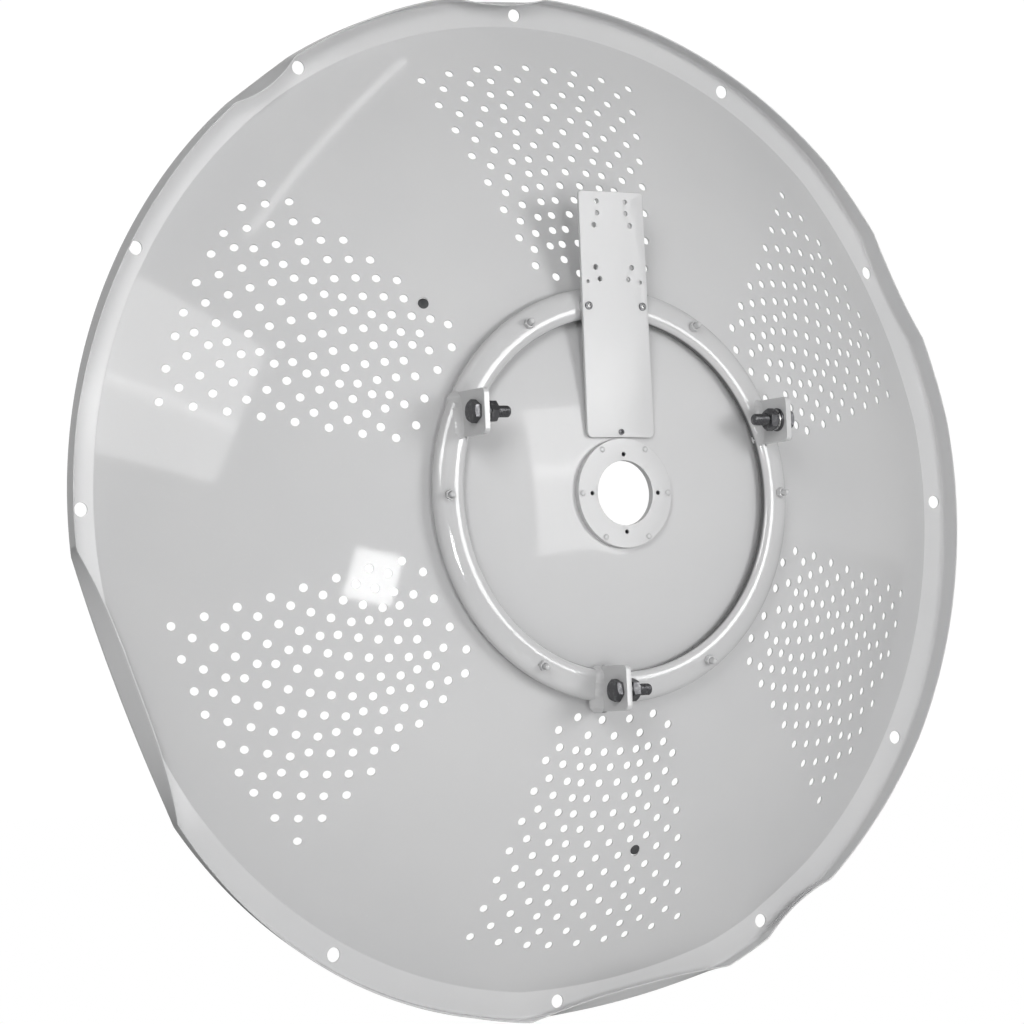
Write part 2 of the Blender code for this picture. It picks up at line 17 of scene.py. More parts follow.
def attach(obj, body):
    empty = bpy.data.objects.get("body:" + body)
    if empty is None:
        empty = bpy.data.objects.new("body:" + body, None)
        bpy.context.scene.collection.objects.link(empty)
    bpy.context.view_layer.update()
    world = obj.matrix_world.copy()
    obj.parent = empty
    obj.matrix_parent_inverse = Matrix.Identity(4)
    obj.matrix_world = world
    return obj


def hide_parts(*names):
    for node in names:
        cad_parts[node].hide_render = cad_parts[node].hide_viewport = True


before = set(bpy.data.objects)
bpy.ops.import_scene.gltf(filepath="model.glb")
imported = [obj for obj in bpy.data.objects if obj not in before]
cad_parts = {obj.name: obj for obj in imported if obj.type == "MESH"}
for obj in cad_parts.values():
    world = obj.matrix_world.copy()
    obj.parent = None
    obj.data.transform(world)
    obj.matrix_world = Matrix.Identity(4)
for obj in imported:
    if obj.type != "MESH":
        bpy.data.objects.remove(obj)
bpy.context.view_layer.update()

MM = 0.001
BODY = "root"
UNMOVED = Matrix()

# The frame's origin, on the bottom lug: across, depth behind the flange, height.
ORIGIN = (-22.0, 147.5, -158.5)

# Reflector sheet, as in the solids.
SHEET = 1.25
VERTEX_DEPTH = 143.9
CORNER_R = 424.3
ROOT_R = 447.3
LIP_R = 448.8
LIP_HEIGHT = 17.0
LIP_BEND = 2.4
SEAT_R = 50.0
SEAT_HOLE_R = 28.0
FLANGE_MIDDLE = (CORNER_R + ROOT_R) / 2
CURVE = VERTEX_DEPTH / CORNER_R ** 2
SEAT_DEPTH = VERTEX_DEPTH - CURVE * SEAT_R ** 2

RIM_SAG = 1.0
RIM_SAG_ANGLE = 345.0
BOWL_STILL_R = 340.0
# Each dent: centre and half width in degrees, then its push on bowl edge, lip root and the lip's free edge.
DENTS = (
    (27.0, 7.0, 0.0, 6.4, 5.8),
    (27.0, 17.0, 4.0, 5.0, 3.5),
    (62.0, 32.0, 0.0, 0.0, 3.9),
    (93.0, 6.0, 0.0, 1.5, 8.6),
    (125.5, 4.6, 0.0, 1.0, 7.8),
    (135.0, 35.0, 0.0, 0.0, 3.4),
    (200.5, 15.5, 1.0, 12.0, 0.0),
    (236.0, 22.0, 0.0, -1.6, -4.0),
    (278.8, 13.5, 4.0, 5.6, 19.0),
    (304.2, 5.5, 1.0, 2.5, 7.3),
    (306.0, 25.0, 0.0, 0.0, 3.5),
)
# The free edge of the deepest dent is folded over more squarely: centre, half width, push and power.
FOLD = (199.9, 15.6, 24.5, 2.4)
RIM_HOLES = 12
RIM_HOLE_R = 6.0
EDGE_COUNT = 720
HUB_EDGE_COUNT = 96
RIM_HOLE_SIDES = 32
# Radii of the sheet's own points: out to the holes, across them (first, end, step), and about the crease.
SEAT_RINGS = (30.5, 36.0, 43.0, 47.5, 50.0, 53.0, *range(60, 170, 12))
FIELD_RINGS = (178.0, 412.0, 9.0)
CREASE_RINGS = (413.0, 417.0, 420.5, 422.6, 423.8, 424.3, 424.8, 426.2, 428.5, 431.5, 435.4, 439.0, 442.0)
CREASE_START = 420.0

# Perforations: rows of four kinds, as angles from the middle of each of six sectors, a little twisted.
PERFORATION_R = 3.75
PERFORATION_SIDES = 16
ROW_KINDS = {
    "A": (0.0, 4.25, -4.25, 7.47, -7.47, 11.75, -11.75, 16.03, -16.03),
    "B": (2.12, -2.12, 6.35, -6.35, 9.58, -9.58, 13.85, -13.85),
    "C": (4.13, -4.13, 11.4, -11.4),
    "D": (0.0, 7.3, -7.3, 15.55, -15.55),
}
ROWS = (
    (383.5, "A"), (371.4, "B"), (358.8, "A"), (346.7, "B"), (334.1, "A"), (321.8, "B"), (308.9, "A"),
    (296.3, "B"), (283.5, "A"), (270.8, "B"), (257.5, "A"), (244.4, "B"), (231.1, "A"), (218.1, "B"),
    (204.6, "D"), (191.0, "C"),
)
SECTORS = 6
SECTOR_START = 30.0
INNER_TWIST = 0.35
MORE_TWIST = 0.58
PLUGS = {"plug_upper_left": (230.1, 134.9), "plug_lower_middle": (306.5, 278.1)}

# Backing ring.
RING_R = 163.3
RING_HALF_WIDTH = 13.5
RING_HALF_HEIGHT = 7.0
RING_GAP = 0.9
RING_SEAT_DEPTH = 136.5
RING_SEAT_HALF = 31.0
RING_SQUARENESS = 0.92
# Painted shade: the tube's flanks are darkened up to these heights over the bowl, where the gap under the
# tube falls in shade.
SHADE_HEIGHT_INNER = 10.0
SHADE_HEIGHT_OUTER = 3.0

# Hub, radio plate and studs. Each pair of plate holes: height, distance from the middle and radius.
HUB_R = 46.5
HUB_BORE_R = 27.5
HUB_THICK = 5.3
HUB_EDGE = 0.5
HUB_HOLE_R = 1.95
HUB_HOLE_CIRCLE = 32.8
RIVET_CIRCLE = 42.7
RIVET_R = 2.6
LARGE_HOLE_R = 6.0
PLATE_THICK = 3.0
PLATE_BOTTOM = 47.2
PLATE_TOP = 257.0
PLATE_BOTTOM_WIDTH = 67.0
PLATE_TOP_WIDTH = 64.0
PLATE_EDGE = 0.6
PLATE_BOTTOM_CORNER = 5.0
PLATE_TOP_CORNER = 3.0
PLATE_HOLES = (
    (248.3, 14.25, 2.1), (238.3, 14.3, 2.1), (228.0, 18.0, 2.3),
    (192.1, 18.0, 2.3), (182.0, 14.2, 2.1), (179.7, 26.3, 1.5),
)
RING_SCREW_X = 26.9
RING_SCREW_Z = 159.0
FOOT_SCREW_Z = 51.9
SPACER_R = 5.4
STUDS = 6
STUD_R = 2.5
STUD_NUT_FLATS = 8.0
STUD_NUT = 4.5
STUD_TIP = 5.5
STUD_NUT_TURN = 0.35

# Each lug: x and height of its middle, height of its bolt, depth of its front, and the nut's side.
LUG_THICK = 5.0
LUG_HEIGHT = 38.0
LUG_BACK = 178.4
LUG_CORNER = 4.5
LUG_EDGE = 0.35
LUG_HOLE_R = 5.5
LUGS = {
    "left": (-150.0, 66.5, 66.7, 132.5, 1.0),
    "right": (150.0, 61.0, 61.0, 132.5, -1.0),
    "bottom": (-24.5, -164.5, -166.4, 135.4, 1.0),
}
BOLT_DEPTH = 165.5
BOLT_R = 5.0
BOLT_LENGTH = 30.5
BOLT_THREAD = 15.5
BOLT_PITCH = 1.5
THREAD_DEPTH = 0.55
BOLT_FLATS = 17.0
BOLT_HEAD = 6.4
BOLT_NUT = 7.8
HEAD_CROWN = 0.985
NUT_CROWN = 0.95
HEAD_RELIEF = 0.35
HEAD_RELIEF_R = 7.9
# How far each bolt's head and nut are turned, in degrees.
WRENCH_TURNS = {"left": (30.0, 0.0), "right": (30.0, 21.5), "bottom": (40.0, 23.0)}
WELD_SIZE = 5.5
WASHER_R = 10.0
WASHER = 1.8
SPRING_WASHER_R = 8.8
SPRING_WASHER = 2.0
SPRING_RISE = 0.35
FIT = 0.3

# Camera, floor and light. Softboxes are given by the corners of their mirror images in the bowl, their
# brightness and any streaks. Glows are broad: azimuth, elevation and strength.
CAMERA_PLACE = Vector((-1693.6, -2798.7, -190.0))
CAMERA_RIGHT = Vector((0.8560, -0.5150, -0.0439))
CAMERA_AHEAD = Vector((0.5169, 0.8541, 0.0580))
CAMERA_LENS = 131.11
CAMERA_SHIFT = (-0.0232, -0.0064)
FLOOR_HALF = 60.0
FLOOR_DROP = 1.35
FLOOR_FADE = (3.0, 8.0)
BACKDROP_WHITE = 1.02
PANEL_DISTANCE = 3000.0
PANEL_EDGE = 8.0
PANEL_MARGIN = 40.0
SOFTBOXES = (
    ("softbox_left", ((-394.0, 205.5), (-290.9, 126.4), (-337.9, 16.5), (-440.0, 52.0)), 7.6,
     ((-407.0, 108.0, -320.7, 62.0, 45.0, 0.9),)),
    ("softbox_right", ((-90.0, 71.1), (0.0, 76.0), (0.0, -43.0), (-82.4, -51.6)), 8.0,
     ((-85.0, 19.0, -10.0, 19.0, 60.0, 0.8),)),
    ("window_small", ((-233.0, -40.1), (-196.3, -49.2), (-207.0, -89.9), (-244.8, -79.4)), 27.5, ()),
    ("strip_above", ((-123.0, 390.0), (-119.0, 388.0), (-290.4, 224.0), (-294.4, 227.6)), 11.0, ()),
)
ROOM_LIGHT = 0.12
ROOM_GLOWS = ((80.0, 5.0, 0.45), (10.0, 5.0, 0.2), (180.0, 15.0, 0.7))
GLOW_TIGHTNESS = 3.0
FLOOR_GLOW = 0.05
SHEEN = 0.18


# Placing and mesh helpers


def row_matrix():
    """From millimetres around the dish axis to the frame's metres."""
    scale = Matrix.Diagonal((MM, MM, MM, 1.0))
    return scale @ Matrix.Translation((-ORIGIN[0], ORIGIN[1], -ORIGIN[2]))


def facing_back():
    """Turns a shape built up along Z so that it stands out of the dish's back."""
    return Matrix.Rotation(math.radians(90.0), 4, "X")


def at_back(x, z, depth):
    return Matrix.Translation((x, -depth, z)) @ facing_back()


def along_x(x, z, depth, side):
    return Matrix.Translation((x, -depth, z)) @ Matrix.Rotation(math.radians(90.0 * side), 4, "Y")


def polar(radius, angle):
    """Across and height from radius and angle in degrees. Both may be arrays."""
    return radius * np.cos(np.radians(angle)), radius * np.sin(np.radians(angle))


def on_slope(radius, angle, tilt, lift=0.0):
    """A place on the dish's back, leaning outwards by a tilt and lifted along its own Z."""
    x, z = polar(radius, angle)
    turn = Matrix.Rotation(math.radians(angle), 4, "Z") @ Matrix.Rotation(tilt, 4, "Y")
    spot = Matrix.Translation((x, z, float(bowl_depth(radius)))) @ turn
    return facing_back() @ spot @ Matrix.Translation((0.0, 0.0, lift))


def transform(points, matrix):
    grid = np.array(matrix)
    return np.asarray(points, dtype=float) @ grid[:3, :3].T + grid[:3, 3]


def around_once(count):
    return np.linspace(0.0, math.tau, count, endpoint=False)


def circle(radius, height, segments=72, turn=None):
    """A level loop of points. The radius may differ from angle to angle."""
    turn = around_once(segments) if turn is None else turn
    return np.column_stack((radius * np.cos(turn), radius * np.sin(turn), np.full(len(turn), height)))


def add_object(name, data):
    made = bpy.data.objects.new(name, data)
    bpy.context.scene.collection.objects.link(made)
    return made


def make_piece(name, points, faces, material, replaces=(), matrix=UNMOVED, sharp=35.0,
               normals=None):
    """One piece of the object: its points in millimetres, placed by a matrix, riding on the body."""
    points = transform(transform(points, matrix), row_matrix())
    mesh = bpy.data.meshes.new(name)
    mesh.from_pydata([tuple(p) for p in points], [], [tuple(int(i) for i in f) for f in faces])
    mesh.validate(clean_customdata=False)
    mesh.shade_smooth()
    if normals is None:
        mesh.set_sharp_from_angle(angle=math.radians(sharp))
    else:
        mesh.normals_split_custom_set([tuple(n) for n in normals])
    mesh.materials.append(material)
    piece = add_object(name, mesh)
    if normals is None:
        even = piece.modifiers.new("even_shading", "WEIGHTED_NORMAL")
        even.keep_sharp = True
        even.weight = 80
    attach(piece, BODY)
    if replaces:
        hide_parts(*replaces)


class Shape:
    """Collects points and faces of one or more closed bodies, then builds one piece of them."""

    def __init__(self):
        self.points = []
        self.faces = []

    def rings(self, rings, matrix=UNMOVED, closed=False):
        """Joins a stack of rings of equal length. Open stacks get a flat cap at both ends."""
        count = len(rings[0])
        base = sum(len(p) for p in self.points)
        self.points.append(transform(np.vstack(rings), matrix))
        spans = len(rings) if closed else len(rings) - 1
        for a in range(spans):
            here, after = base + a * count, base + (a + 1) % len(rings) * count
            for i in range(count):
                j = (i + 1) % count
                self.faces.append((here + i, here + j, after + j, after + i))
        if not closed:
            last = base + spans * count
            self.faces.append(tuple(reversed(range(base, base + count))))
            self.faces.append(tuple(range(last, last + count)))
        return self

    def lathe(self, profile, segments, matrix, closed=False):
        """Turns pairs of radius and height, listed from bottom to top on the outside, about Z."""
        return self.rings([circle(radius, height, segments) for radius, height in profile], matrix, closed)

    def build(self, name, material, slot, replaces=(), sharp=35.0):
        make_piece(name, np.vstack(self.points), self.faces, material, replaces, sharp=sharp)

    def replace(self, node_name, suffix, material, slot):
        """Builds the piece that stands for one solid. Its name is the solid's with a suffix."""
        self.build("%s_%s" % (node_name, suffix), material, slot, (node_name,))


# Materials


def fill(tree, made, inputs):
    """Gives each named or numbered input a constant value, or links another node's output to it."""
    for key, value in inputs.items():
        if isinstance(value, bpy.types.NodeSocket):
            tree.links.new(value, made.inputs[key])
        else:
            made.inputs[key].default_value = value


def node(tree, kind, inputs=None, **settings):
    made = tree.nodes.new(kind)
    for key, value in settings.items():
        setattr(made, key, value)
    fill(tree, made, inputs or {})
    return made


def noise(tree, where, scale, detail, roughness=0.5):
    inputs = {"Vector": where, "Scale": scale, "Detail": detail, "Roughness": roughness}
    return node(tree, "ShaderNodeTexNoise", inputs).outputs["Fac"]


def spread(tree, value, low, high, new_low, new_high):
    inputs = {"Value": value, "From Min": low, "From Max": high, "To Min": new_low, "To Max": new_high}
    return node(tree, "ShaderNodeMapRange", inputs).outputs["Result"]


def arithmetic(tree, operation, *values):
    """One Math node. Each value is a number or the output of another node."""
    return node(tree, "ShaderNodeMath", dict(enumerate(values)), operation=operation).outputs[0]


def vector_math(tree, operation, *values):
    return node(tree, "ShaderNodeVectorMath", dict(enumerate(values)), operation=operation)


def dot(tree, vector, axis):
    return vector_math(tree, "DOT_PRODUCT", vector, axis).outputs["Value"]


def camera_ray(tree):
    """One where the camera looks straight at something, nought for light that is bounced."""
    return node(tree, "ShaderNodeLightPath").outputs["Is Camera Ray"]


def mix_colours(tree, factor, first, second):
    return node(tree, "ShaderNodeMix", {0: factor, 6: first, 7: second}, data_type="RGBA").outputs[2]


def new_material(name):
    material = bpy.data.materials.new(name)
    material.use_nodes = True
    tree = material.node_tree
    shader = tree.nodes["Principled BSDF"]
    where = node(tree, "ShaderNodeTexCoord").outputs["Object"]
    return material, tree, shader, where


def add_bump(tree, shader, heights, distance):
    """Chains bumps, each a pair of height and strength."""
    last = {}
    for height, strength in heights:
        inputs = {"Height": height, "Strength": strength, "Distance": distance, **last}
        last = {"Normal": node(tree, "ShaderNodeBump", inputs).outputs["Normal"]}
    fill(tree, shader, last)


def painted_gap_shade(tree, where):
    """Painted shade mask: one on the tube's flanks close to the bowl, and higher up on its inner side,
    where the gap under the tube falls in shade.
    """
    away = vector_math(tree, "SUBTRACT", where, row_matrix() @ Vector()).outputs["Vector"]
    x, y, z = node(tree, "ShaderNodeSeparateXYZ", {0: away}).outputs
    squares = arithmetic(tree, "MULTIPLY_ADD", x, x, arithmetic(tree, "MULTIPLY", z, z))
    rise = arithmetic(tree, "MULTIPLY_ADD", squares, CURVE / MM ** 2, -VERTEX_DEPTH)
    height = arithmetic(tree, "MULTIPLY_ADD", y, -1.0 / MM, rise)
    inner, outer = ((RING_R + step) ** 2 * MM ** 2 for step in (-8.0, 2.0))
    limit = spread(tree, squares, inner, outer, SHADE_HEIGHT_INNER, SHADE_HEIGHT_OUTER)
    return spread(tree, arithmetic(tree, "SUBTRACT", height, limit), -1.2, 0.4, 1.0, 0.0)


def powder_coat(name, shade=1.0, gloss=0.05, peel=0.03, wave=0.0, sheen=SHEEN, gap_shade=False):
    """Light grey powder coat: fine orange peel, faint clouding, a few dull specks."""
    material, tree, shader, where = new_material(name)
    light = (0.585 * shade, 0.585 * shade, 0.588 * shade, 1.0)
    dark = (0.560 * shade, 0.561 * shade, 0.566 * shade, 1.0)
    clouds = spread(tree, noise(tree, where, 5.0, 3.0), 0.35, 0.65, 0.0, 1.0)
    colour = mix_colours(tree, clouds, dark, light)
    specks = spread(tree, noise(tree, where, 900.0, 1.0), 0.70, 0.76, 0.0, 0.35)
    colour = mix_colours(tree, specks, colour, (0.66, 0.66, 0.655, 1.0))
    # Painted shade: near-black mixed into the ring tube's flanks close to the bowl, where the gap beneath
    # falls in shade.
    if gap_shade:
        colour = mix_colours(tree, painted_gap_shade(tree, where), colour, (0.09, 0.09, 0.092, 1.0))
    dullness = spread(tree, noise(tree, where, 60.0, 4.0), 0.3, 0.7, gloss - 0.02, gloss + 0.03)
    fill(tree, shader, {"Base Color": colour, "Roughness": dullness})
    fill(tree, shader, {"IOR": 1.5, "Specular IOR Level": sheen})
    bumps = [(noise(tree, where, 650.0, 1.0), peel)]
    if wave:
        bumps.append((noise(tree, where, 9.0, 1.0), wave))
    add_bump(tree, shader, bumps, 0.0004)
    return material


def mottled(name, pattern, dark, light, worn, shine, metallic, grain=None):
    """A small part's finish: two colours in a noise pattern, and dullness after its own noise.

    pattern: scale, detail and roughness. worn: the pattern's range and the share of the light colour.
    shine: scale and detail, then the range of dullness. grain: scale, detail, strength and depth."""
    material, tree, shader, where = new_material(name)
    low, high, most = worn
    share = spread(tree, noise(tree, where, *pattern), low, high, 0.0, most)
    colour = mix_colours(tree, share, (*dark, 1.0), (*light, 1.0))
    dullness = spread(tree, noise(tree, where, *shine[:2]), 0.3, 0.7, *shine[2:])
    fill(tree, shader, {"Base Color": colour, "Roughness": dullness, "Metallic": metallic})
    if grain:
        scale, detail, strength, depth = grain
        add_bump(tree, shader, [(noise(tree, where, scale, detail), strength)], depth)
    return material


# The reflector


def smooth_min(a, b, width):
    blend = np.maximum(width - np.abs(a - b), 0.0) / width
    return np.minimum(a, b) - blend * blend * width / 4


def bowl_depth(radius):
    """Depth of the back surface: a paraboloid with a flat hub seat and a flat flange, softly joined."""
    depth = VERTEX_DEPTH - CURVE * np.asarray(radius, dtype=float) ** 2
    depth = smooth_min(depth, SEAT_DEPTH, 0.3)
    return -smooth_min(-depth, 0.0, 0.3)


def dish_tilt(radius):
    return math.atan(2.0 * CURVE * radius)


def dent_push(angle, column):
    """Sum of the dents at angles in degrees, for the bowl's edge, the lip's root or its free edge."""
    pushes = [(centre, half_width, push[column], 2.0) for centre, half_width, *push in DENTS]
    if column == 2:
        pushes.append(FOLD)
    total = np.zeros_like(angle)
    for centre, half_width, push, power in pushes:
        share = np.abs((angle - centre + 180.0) % 360.0 - 180.0) / half_width
        total += push * np.maximum(1.0 - share ** power, 0.0)
    return total


def rim_shift(angle, radius, height):
    """How far points of the sheet have moved out from their true circle."""
    sag = RIM_SAG * np.cos(np.radians(angle - RIM_SAG_ANGLE))
    edge, root, lip = (sag - dent_push(angle, column) for column in range(3))
    share = np.clip((radius - BOWL_STILL_R) / (CORNER_R - BOWL_STILL_R), 0.0, 1.0)
    across = np.clip((radius - CORNER_R) / (ROOT_R - CORNER_R), 0.0, 1.0)
    up = np.clip(height / LIP_HEIGHT, 0.0, 1.0)
    return (edge * share ** 2 + (root - edge) * across) * (1.0 - up) + lip * up


def sheet_point(radius, angle, height=None):
    """Points of the back surface. On the lip, height is the distance behind the flange."""
    rise = np.zeros_like(radius) if height is None else height
    depth = bowl_depth(radius) if height is None else rise
    across, up = polar(radius + rim_shift(angle % 360.0, radius, rise), angle)
    return np.column_stack((across, -depth, up))


def sheet_normal(radius, angle):
    """Unit normals of the back surface, pointing out of the back."""
    step = 0.05
    along = sheet_point(radius + step, angle) - sheet_point(radius - step, angle)
    around = sheet_point(radius, angle + step) - sheet_point(radius, angle - step)
    normal = np.cross(along, around)
    normal /= np.linalg.norm(normal, axis=1)[:, None]
    return np.where(normal[:, 1:2] > 0.0, -normal, normal)


def perforations():
    """Centres of all perforations as radius and angle."""
    places = []
    for sector in range(SECTORS):
        for radius, kind in ROWS:
            twist = INNER_TWIST + MORE_TWIST * (radius - ROWS[-1][0]) / (ROWS[0][0] - ROWS[-1][0])
            for offset in ROW_KINDS[kind]:
                places.append((radius, SECTOR_START + 60.0 * sector + offset + twist))
    return places


def hole_outline(radius, angle, hole_radius):
    """A round hole punched square to the surface, as radii and angles of its corners."""
    turn = around_once(PERFORATION_SIDES if hole_radius < RIM_HOLE_R else RIM_HOLE_SIDES)
    slope = math.cos(dish_tilt(radius)) if SEAT_R < radius < CORNER_R else 1.0
    radii = radius + hole_radius * np.cos(turn) * slope
    return radii, angle + np.degrees(hole_radius * np.sin(turn) / radii)


def filler_points(holes):
    """Rings of points between the holes, kept clear of their edges."""
    places = []
    for radius in (*SEAT_RINGS, *np.arange(*FIELD_RINGS), *CREASE_RINGS):
        spacing = FIELD_RINGS[2] if radius < FIELD_RINGS[1] else 4.0
        count = EDGE_COUNT if radius > CREASE_START else max(60, int(math.tau * radius / spacing))
        stagger = 0.0 if radius > CREASE_START else 0.5
        for index in range(count):
            places.append((radius, 360.0 * (index + stagger * (len(places) % 2)) / count))
    places = np.array(places)
    across, height = polar(*places.T)
    keep = np.ones(len(places), dtype=bool)
    for radius, angle, hole_radius in holes:
        x, z = polar(radius, angle)
        keep &= np.hypot(across - x, height - z) > hole_radius + 1.9
    return places[keep]


def make_reflector(material):
    """The perforated sheet: triangulated flat around its holes, then lifted onto the bowl."""
    holes = [(radius, angle, PERFORATION_R) for radius, angle in perforations()]
    holes += [(FLANGE_MIDDLE, 360.0 / RIM_HOLES * i, RIM_HOLE_R) for i in range(RIM_HOLES)]
    holes.append((FOOT_SCREW_Z, 90.0, 1.9))
    edge_radius = ROOT_R - LIP_BEND
    turn = np.linspace(0.0, 360.0, EDGE_COUNT, endpoint=False)
    hub_turn = np.linspace(0.0, 360.0, HUB_EDGE_COUNT, endpoint=False)
    outlines = [(np.full(EDGE_COUNT, edge_radius), turn), (np.full(HUB_EDGE_COUNT, SEAT_HOLE_R), hub_turn)]
    outlines += [hole_outline(*hole) for hole in holes]
    starts = np.cumsum([0] + [len(outline[0]) for outline in outlines])
    loops = [np.arange(start, end) for start, end in zip(starts, starts[1:])]
    radii, angles = np.hstack([*outlines, filler_points(holes).T])

    edges = [(int(a), int(b)) for loop in loops for a, b in zip(loop, np.roll(loop, -1))]
    points = [Vector(p) for p in zip(*polar(radii, angles))]
    _, _, out_faces, origins, _, _ = delaunay_2d_cdt(points, edges, [], 0, 1e-6)
    index = np.array([origin[0] for origin in origins])
    loop_of = np.full(len(radii), -1)
    for number, loop in enumerate(loops[1:], start=1):
        loop_of[loop] = number
    faces = np.array([[index[i] for i in face] for face in out_faces])
    owner = loop_of[faces]
    inside = (owner[:, 0] > 0) & (owner[:, 0] == owner[:, 1]) & (owner[:, 1] == owner[:, 2])
    faces = faces[~inside]

    back = sheet_point(radii, angles)
    normal = sheet_normal(radii, angles)
    front = back - normal * SHEET
    count = len(radii)

    # the lip: a bend and a straight wall, inner side first, then around its free edge to the outer side
    bend = np.radians(np.arange(15.0, 91.0, 15.0))
    inner = [(edge_radius + LIP_BEND * math.sin(a), LIP_BEND * (1.0 - math.cos(a))) for a in bend]
    outer_bend = LIP_BEND + SHEET
    outer = [(edge_radius + outer_bend * math.sin(a), LIP_BEND - outer_bend * math.cos(a)) for a in bend]
    for share in (0.2, 0.4, 0.6, 0.8, 0.97):
        height = LIP_BEND + (LIP_HEIGHT - LIP_BEND) * share
        lean = (LIP_R - ROOT_R) * (height - LIP_BEND) / (LIP_HEIGHT - LIP_BEND)
        inner.append((ROOT_R + lean, height))
        outer.append((ROOT_R + lean + SHEET, height))
    crown = [(LIP_R + 0.35, LIP_HEIGHT), (LIP_R + SHEET - 0.35, LIP_HEIGHT)]
    lip_rings = [sheet_point(np.full(EDGE_COUNT, r), turn, np.full(EDGE_COUNT, h))
                 for r, h in inner + crown + outer[::-1]]
    lip_points = np.vstack(lip_rings)

    vertices = np.vstack((back, front, lip_points))
    polygons, corner_normals = [], []
    a, b, c = (back[column] for column in faces.T)
    towards_back = np.cross(b - a, c - a)[:, 1] < 0.0
    for face, good in zip(faces, towards_back):
        rear = face if good else face[::-1]
        polygons.append(tuple(rear))
        corner_normals.extend(normal[i] for i in rear)
        polygons.append(tuple(i + count for i in rear[::-1]))
        corner_normals.extend(-normal[i] for i in rear[::-1])
    for loop in loops[1:]:
        centre = back[loop].mean(axis=0)
        for i, j in zip(loop, np.roll(loop, -1)):
            quad = (i, j, j + count, i + count)
            first, second, third = vertices[list(quad[:3])]
            side = np.cross(second - first, third - first)
            if side @ (centre - back[i]) < 0.0:
                quad = quad[::-1]
            polygons.append(quad)
            for corner in quad:
                inwards = centre - back[corner % count]
                inwards -= normal[corner % count] * (inwards @ normal[corner % count])
                corner_normals.append(inwards / np.linalg.norm(inwards))

    ring_ids = [loops[0]]
    ring_ids += [2 * count + k * EDGE_COUNT + np.arange(EDGE_COUNT) for k in range(len(lip_rings))]
    ring_ids.append(loops[0] + count)
    stack = vertices[np.concatenate(ring_ids)].reshape(len(ring_ids), EDGE_COUNT, 3)
    along = np.gradient(stack, axis=0)
    around = np.roll(stack, -1, axis=1) - np.roll(stack, 1, axis=1)
    lip_normal = np.cross(along, around)
    lip_normal /= np.linalg.norm(lip_normal, axis=2)[:, :, None]
    if lip_normal[3, 0] @ np.array([1.0, 0.0, 0.0]) > 0.0:
        lip_normal = -lip_normal
    lip_normal[0] = normal[loops[0]]
    lip_normal[-1] = -normal[loops[0]]
    for k in range(len(ring_ids) - 1):
        for i in range(EDGE_COUNT):
            j = (i + 1) % EDGE_COUNT
            quad = [(k, i), (k, j), (k + 1, j), (k + 1, i)]
            p = [stack[q] for q in quad]
            if np.cross(p[1] - p[0], p[2] - p[0]) @ lip_normal[quad[0]] < 0.0:
                quad = quad[::-1]
            polygons.append(tuple(ring_ids[q[0]][q[1]] for q in quad))
            corner_normals.extend(lip_normal[q] for q in quad)
    make_piece("reflector_sheet", vertices, polygons, material,
               replaces=("reflector_dish",), normals=corner_normals)


def make_plugs(material):
    """Snap-in plugs: a shallow domed head on the back and a tail through the sheet."""
    profile = [(0.4, -4.0), (3.2, -4.0), (3.7, -3.2), (3.4, -2.2), (3.4, 0.0), (4.55, 0.0), (4.6, 0.35),
               (4.2, 0.75), (3.0, 1.0), (1.5, 1.1), (0.3, 1.12)]
    for name, (radius, angle) in PLUGS.items():
        place = on_slope(radius, angle, dish_tilt(radius), lift=0.05)
        Shape().lathe(profile, 32, place).replace(name, "cap", material, "black_plastic")


# The ring with its studs


def tube_section(across, up):
    """Radius and depth of points of the tube's oval, which leans with the bowl under it."""
    tilt = dish_tilt(RING_R)
    depth = float(bowl_depth(RING_R)) + (RING_HALF_HEIGHT + RING_GAP) / math.cos(tilt)
    radius = RING_R + across * math.cos(tilt) + up * math.sin(tilt)
    return radius, depth - across * math.sin(tilt) + up * math.cos(tilt)


def ring_surface(angle, around):
    """Points of the tube: the oval section at an angle, pressed flat where the plate crosses it."""
    c, s = np.cos(around), np.sin(around)
    across = RING_HALF_WIDTH * np.sign(c) * np.abs(c) ** RING_SQUARENESS
    up = RING_HALF_HEIGHT * np.sign(s) * np.abs(s) ** RING_SQUARENESS
    radius, level = tube_section(across, up)
    x, z = radius * np.cos(angle), radius * np.sin(angle)
    press = np.clip((RING_SEAT_HALF - np.abs(x)) / 4.0, 0.0, 1.0) * (z > 0.0)
    press = press * press * (3.0 - 2.0 * press)
    pressed = smooth_min(level, RING_SEAT_DEPTH, 0.8)
    level = level + (pressed - level) * press
    return np.stack((x, -level, z), axis=-1)


def make_ring(material):
    close = np.radians(90.0 + np.linspace(-15.0, 15.0, 90))
    turns = np.unique(np.concatenate((around_once(300), close)))
    section = around_once(40)
    shape = Shape().rings([ring_surface(angle, section) for angle in turns[::-1]], closed=True)
    shape.build("ring_tube", material, "ring_paint", ("backing_ring_tube",), sharp=60.0)


def tube_depth(x, z):
    """Depth of the tube's rear surface under a point."""
    around = np.linspace(-0.5, math.pi + 0.5, 400)
    radius, level = tube_section(RING_HALF_WIDTH * np.cos(around), RING_HALF_HEIGHT * np.sin(around))
    keep = np.argsort(radius)
    return float(np.interp(math.hypot(x, z), radius[keep], level[keep]))


def hex_radius(turn, flats):
    """Distance from the middle of a hexagon to its side, at angles."""
    off = (turn + math.pi / 6.0) % (math.pi / 3.0) - math.pi / 6.0
    return flats / 2.0 / np.cos(off)


